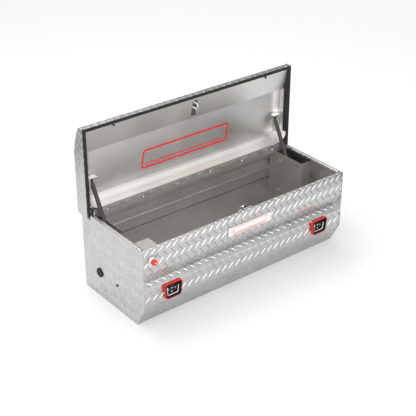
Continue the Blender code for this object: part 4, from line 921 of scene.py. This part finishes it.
# %% Dress every piece
dressing = {
    INSIDE: "floor_panel rear_panel",
    RAIL: "rear_rail",
    LINER: "lid_pan lid_front_channel strut_bracket_left strut_bracket_right latch_guard "
           "lock_escutcheon handle_bail_left handle_bail_right",
    GUARD: "strut_housing_left strut_housing_right lock_shelf",
    STRIP: "hinge_body_leaf hinge_lid_leaf",
    BRIGHT: "hinge_pin strut_rod_left strut_rod_right strut_stud_upper_left "
            "strut_stud_upper_right strut_stud_lower_left strut_stud_lower_right striker_plate "
            "striker_loop latch_case latch_pawl latch_rotor lock_crank release_rod key_plug",
    TUBE: "strut_tube_left strut_tube_right",
    RUBBER: "lid_seal_front lid_seal_left lid_seal_right lid_bumper_left lid_bumper_right "
            "end_grommet end_plug",
    RED: "lock_button handle_bezel_left handle_bezel_right",
    NYLON: "handle_dish_left handle_dish_right strut_socket_upper_left strut_socket_upper_right "
           "strut_socket_lower_left strut_socket_lower_right rod_guide",
    WHITE: "nameplate",
}
new_pieces = {
    TREAD: [front, lid_skin] + ends + caps,
    BRIGHT: bright,
    INK_RED: ink,
    GUARD: guards,
    LINER: [hem],
    RUBBER: slot_shade_strips + [rail_shadow_strip],
    NYLON: moulded,
}


def dress(piece, surface):
    """Give a new piece one finish all over."""
    piece.data.materials.clear()
    piece.data.materials.append(surface)


def dress_node(piece, surface):
    """A frame node keeps its mesh; only what its material slot holds is changed."""
    if not piece.material_slots:
        piece.data.materials.append(surface)
    for slot in piece.material_slots:
        slot.material = surface


for surface, names in dressing.items():
    for name in names.split():
        dress_node(nodes[name], surface)
for surface, pieces in new_pieces.items():
    for piece in pieces:
        dress(piece, surface)
print("dressed", sum(len(names.split()) for names in dressing.values()), "nodes and",
      sum(len(pieces) for pieces in new_pieces.values()), "new pieces")

# %% [markdown]
# ## The studio floor
# A strip of pale paper runs under the chest and away behind it, just wide enough to fill the view.
# It takes the chest's shadow. A little light of its own lifts it to white for the camera, and it is
# kept weak in reflections, because tread plate that mirrors a glowing floor loses its bars.

# %% Paper floor
PAPER_MIDDLE = (1.039, 1.219, -0.0005)
PAPER_SIZE = (3.8, 7.2, 1)
FLOOR_LIFT = 0.2
GLOSSY_SHARE = 0.2
MATT = 0.9
bpy.ops.object.select_all(action="DESELECT")
bpy.ops.mesh.primitive_plane_add(size=1, location=PAPER_MIDDLE, rotation=(0, 0, turn))
floor = bpy.context.object
floor.scale = PAPER_SIZE
settle(floor, "studio_floor")
paper = bpy.data.materials.new("studio_paper")
paper.use_nodes = True
tree = paper.node_tree
sheen = tree.nodes["Principled BSDF"]
sheen.inputs["Base Color"].default_value = light("#d0d0d0")
sheen.inputs["Roughness"].default_value = MATT
sheen.inputs["Specular IOR Level"].default_value = 0.0
sheen.inputs["Emission Color"].default_value = light("#ffffff")
rays = add(tree, "ShaderNodeLightPath")
mirrored = add(tree, "ShaderNodeMath", {0: rays.outputs["Is Glossy Ray"], 1: GLOSSY_SHARE},
               operation="MULTIPLY")
seen = add(tree, "ShaderNodeMath", {0: rays.outputs["Is Camera Ray"], 1: mirrored.outputs["Value"]},
           operation="ADD")
shown = add(tree, "ShaderNodeMath",
            {0: seen.outputs["Value"], 1: rays.outputs["Is Transmission Ray"]}, operation="ADD")
lift = add(tree, "ShaderNodeMath", {0: shown.outputs["Value"], 1: FLOOR_LIFT},
           operation="MULTIPLY")
tree.links.new(lift.outputs["Value"], sheen.inputs["Emission Strength"])
dress(floor, paper)
floor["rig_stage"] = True
print("paper", [round(v, 2) for v in floor.dimensions], "m")

# %% [markdown]
# ## A dark card at the right
# A metal bar shows the side it faces. A low dark card just out of view at the right gives the bars
# that lean back a dark flank, and it is set to be seen in reflections only, so it has no shadow.

# %% Stand the card
CARD_MIDDLE = (1.4, -0.85, 0.08)
CARD_SIZE = (0.16, 1.3, 1)
CARD_TURN = -0.2
bpy.ops.object.select_all(action="DESELECT")
bpy.ops.mesh.primitive_plane_add(size=1, location=CARD_MIDDLE, rotation=(0, math.pi / 2, CARD_TURN))
card = bpy.context.object
card.scale = CARD_SIZE
settle(card, "studio_card")
felt = bpy.data.materials.new("black_card")
felt.use_nodes = True
pile = felt.node_tree.nodes["Principled BSDF"]
pile.inputs["Base Color"].default_value = light("#101010")
pile.inputs["Roughness"].default_value = MATT
dress(card, felt)
card.visible_camera = False
card.visible_shadow = False
card.visible_diffuse = False
card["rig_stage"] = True

# %% [markdown]
# ## The room and its lamps
# Metal only looks like metal when it mirrors something bright beside something dim. So the room is
# dim at eye level, bright overhead and dimmer at the right, and soft panels stand above the back,
# in front and at the left, where the bars' flanks mirror them.

# %% A room that is dim at eye level and bright overhead
EYE_LEVEL = 0.4
BRIGHT_ABOVE = 1.5
RISES = (0.1, 0.6)
RIGHT_SIDE = (0.3, 0.7)
DIM_RIGHT = 0.3
world = bpy.data.worlds.new("studio_world")
bpy.context.scene.world = world
world.use_nodes = True
tree = world.node_tree
sight = add(tree, "ShaderNodeTexCoord")
parts = add(tree, "ShaderNodeSeparateXYZ", {"Vector": sight.outputs["Generated"]})
rise = add(tree, "ShaderNodeMapRange",
           {"Value": parts.outputs["Z"], "From Min": RISES[0], "From Max": RISES[1],
            "To Min": EYE_LEVEL, "To Max": BRIGHT_ABOVE}, interpolation_type="SMOOTHSTEP")
shade_right = add(tree, "ShaderNodeMapRange",
                  {"Value": parts.outputs["X"], "From Min": RIGHT_SIDE[0],
                   "From Max": RIGHT_SIDE[1], "To Min": 1.0, "To Max": DIM_RIGHT},
                  interpolation_type="SMOOTHSTEP")
glow = add(tree, "ShaderNodeMath", {0: rise.outputs["Result"], 1: shade_right.outputs["Result"]},
           operation="MULTIPLY")
tree.links.new(glow.outputs["Value"], tree.nodes["Background"].inputs["Strength"])
tree.nodes["Background"].inputs["Color"].default_value = light("#f7f7f7")


# %% Soft panels
def soft_panel(name, spot, target, size, watts):
    """A rectangular area lamp at one spot that faces another."""
    lamp = bpy.data.lights.new(name, "AREA")
    lamp.shape = "RECTANGLE"
    lamp.size, lamp.size_y = size
    lamp.energy = watts
    holder = bpy.data.objects.new(name, lamp)
    holder.location = spot
    holder.rotation_euler = (Vector(target) - Vector(spot)).to_track_quat("-Z", "Y").to_euler()
    bpy.context.scene.collection.objects.link(holder)
    print(name, watts, "W")


soft_panel("back_panel", (-0.2, 1.3, 3.2), (0, 0, 0.3), (1.8, 1.8), 40)
soft_panel("front_panel", (-0.8, -4.2, 1.35), (0, 0, 0.4), (3.6, 2.1), 62)
soft_panel("left_panel", (-3.8, 0.3, 0.75), (0, 0, 0.35), (2.6, 1.3), 11)

# %% Measure how far the pieces grew
visual_box = [list(corner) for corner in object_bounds()]
grown = [[round((b - a) / MM, 2) for a, b in zip(*pair)] for pair in zip(cad_box, visual_box)]
print("grew by mm", grown)
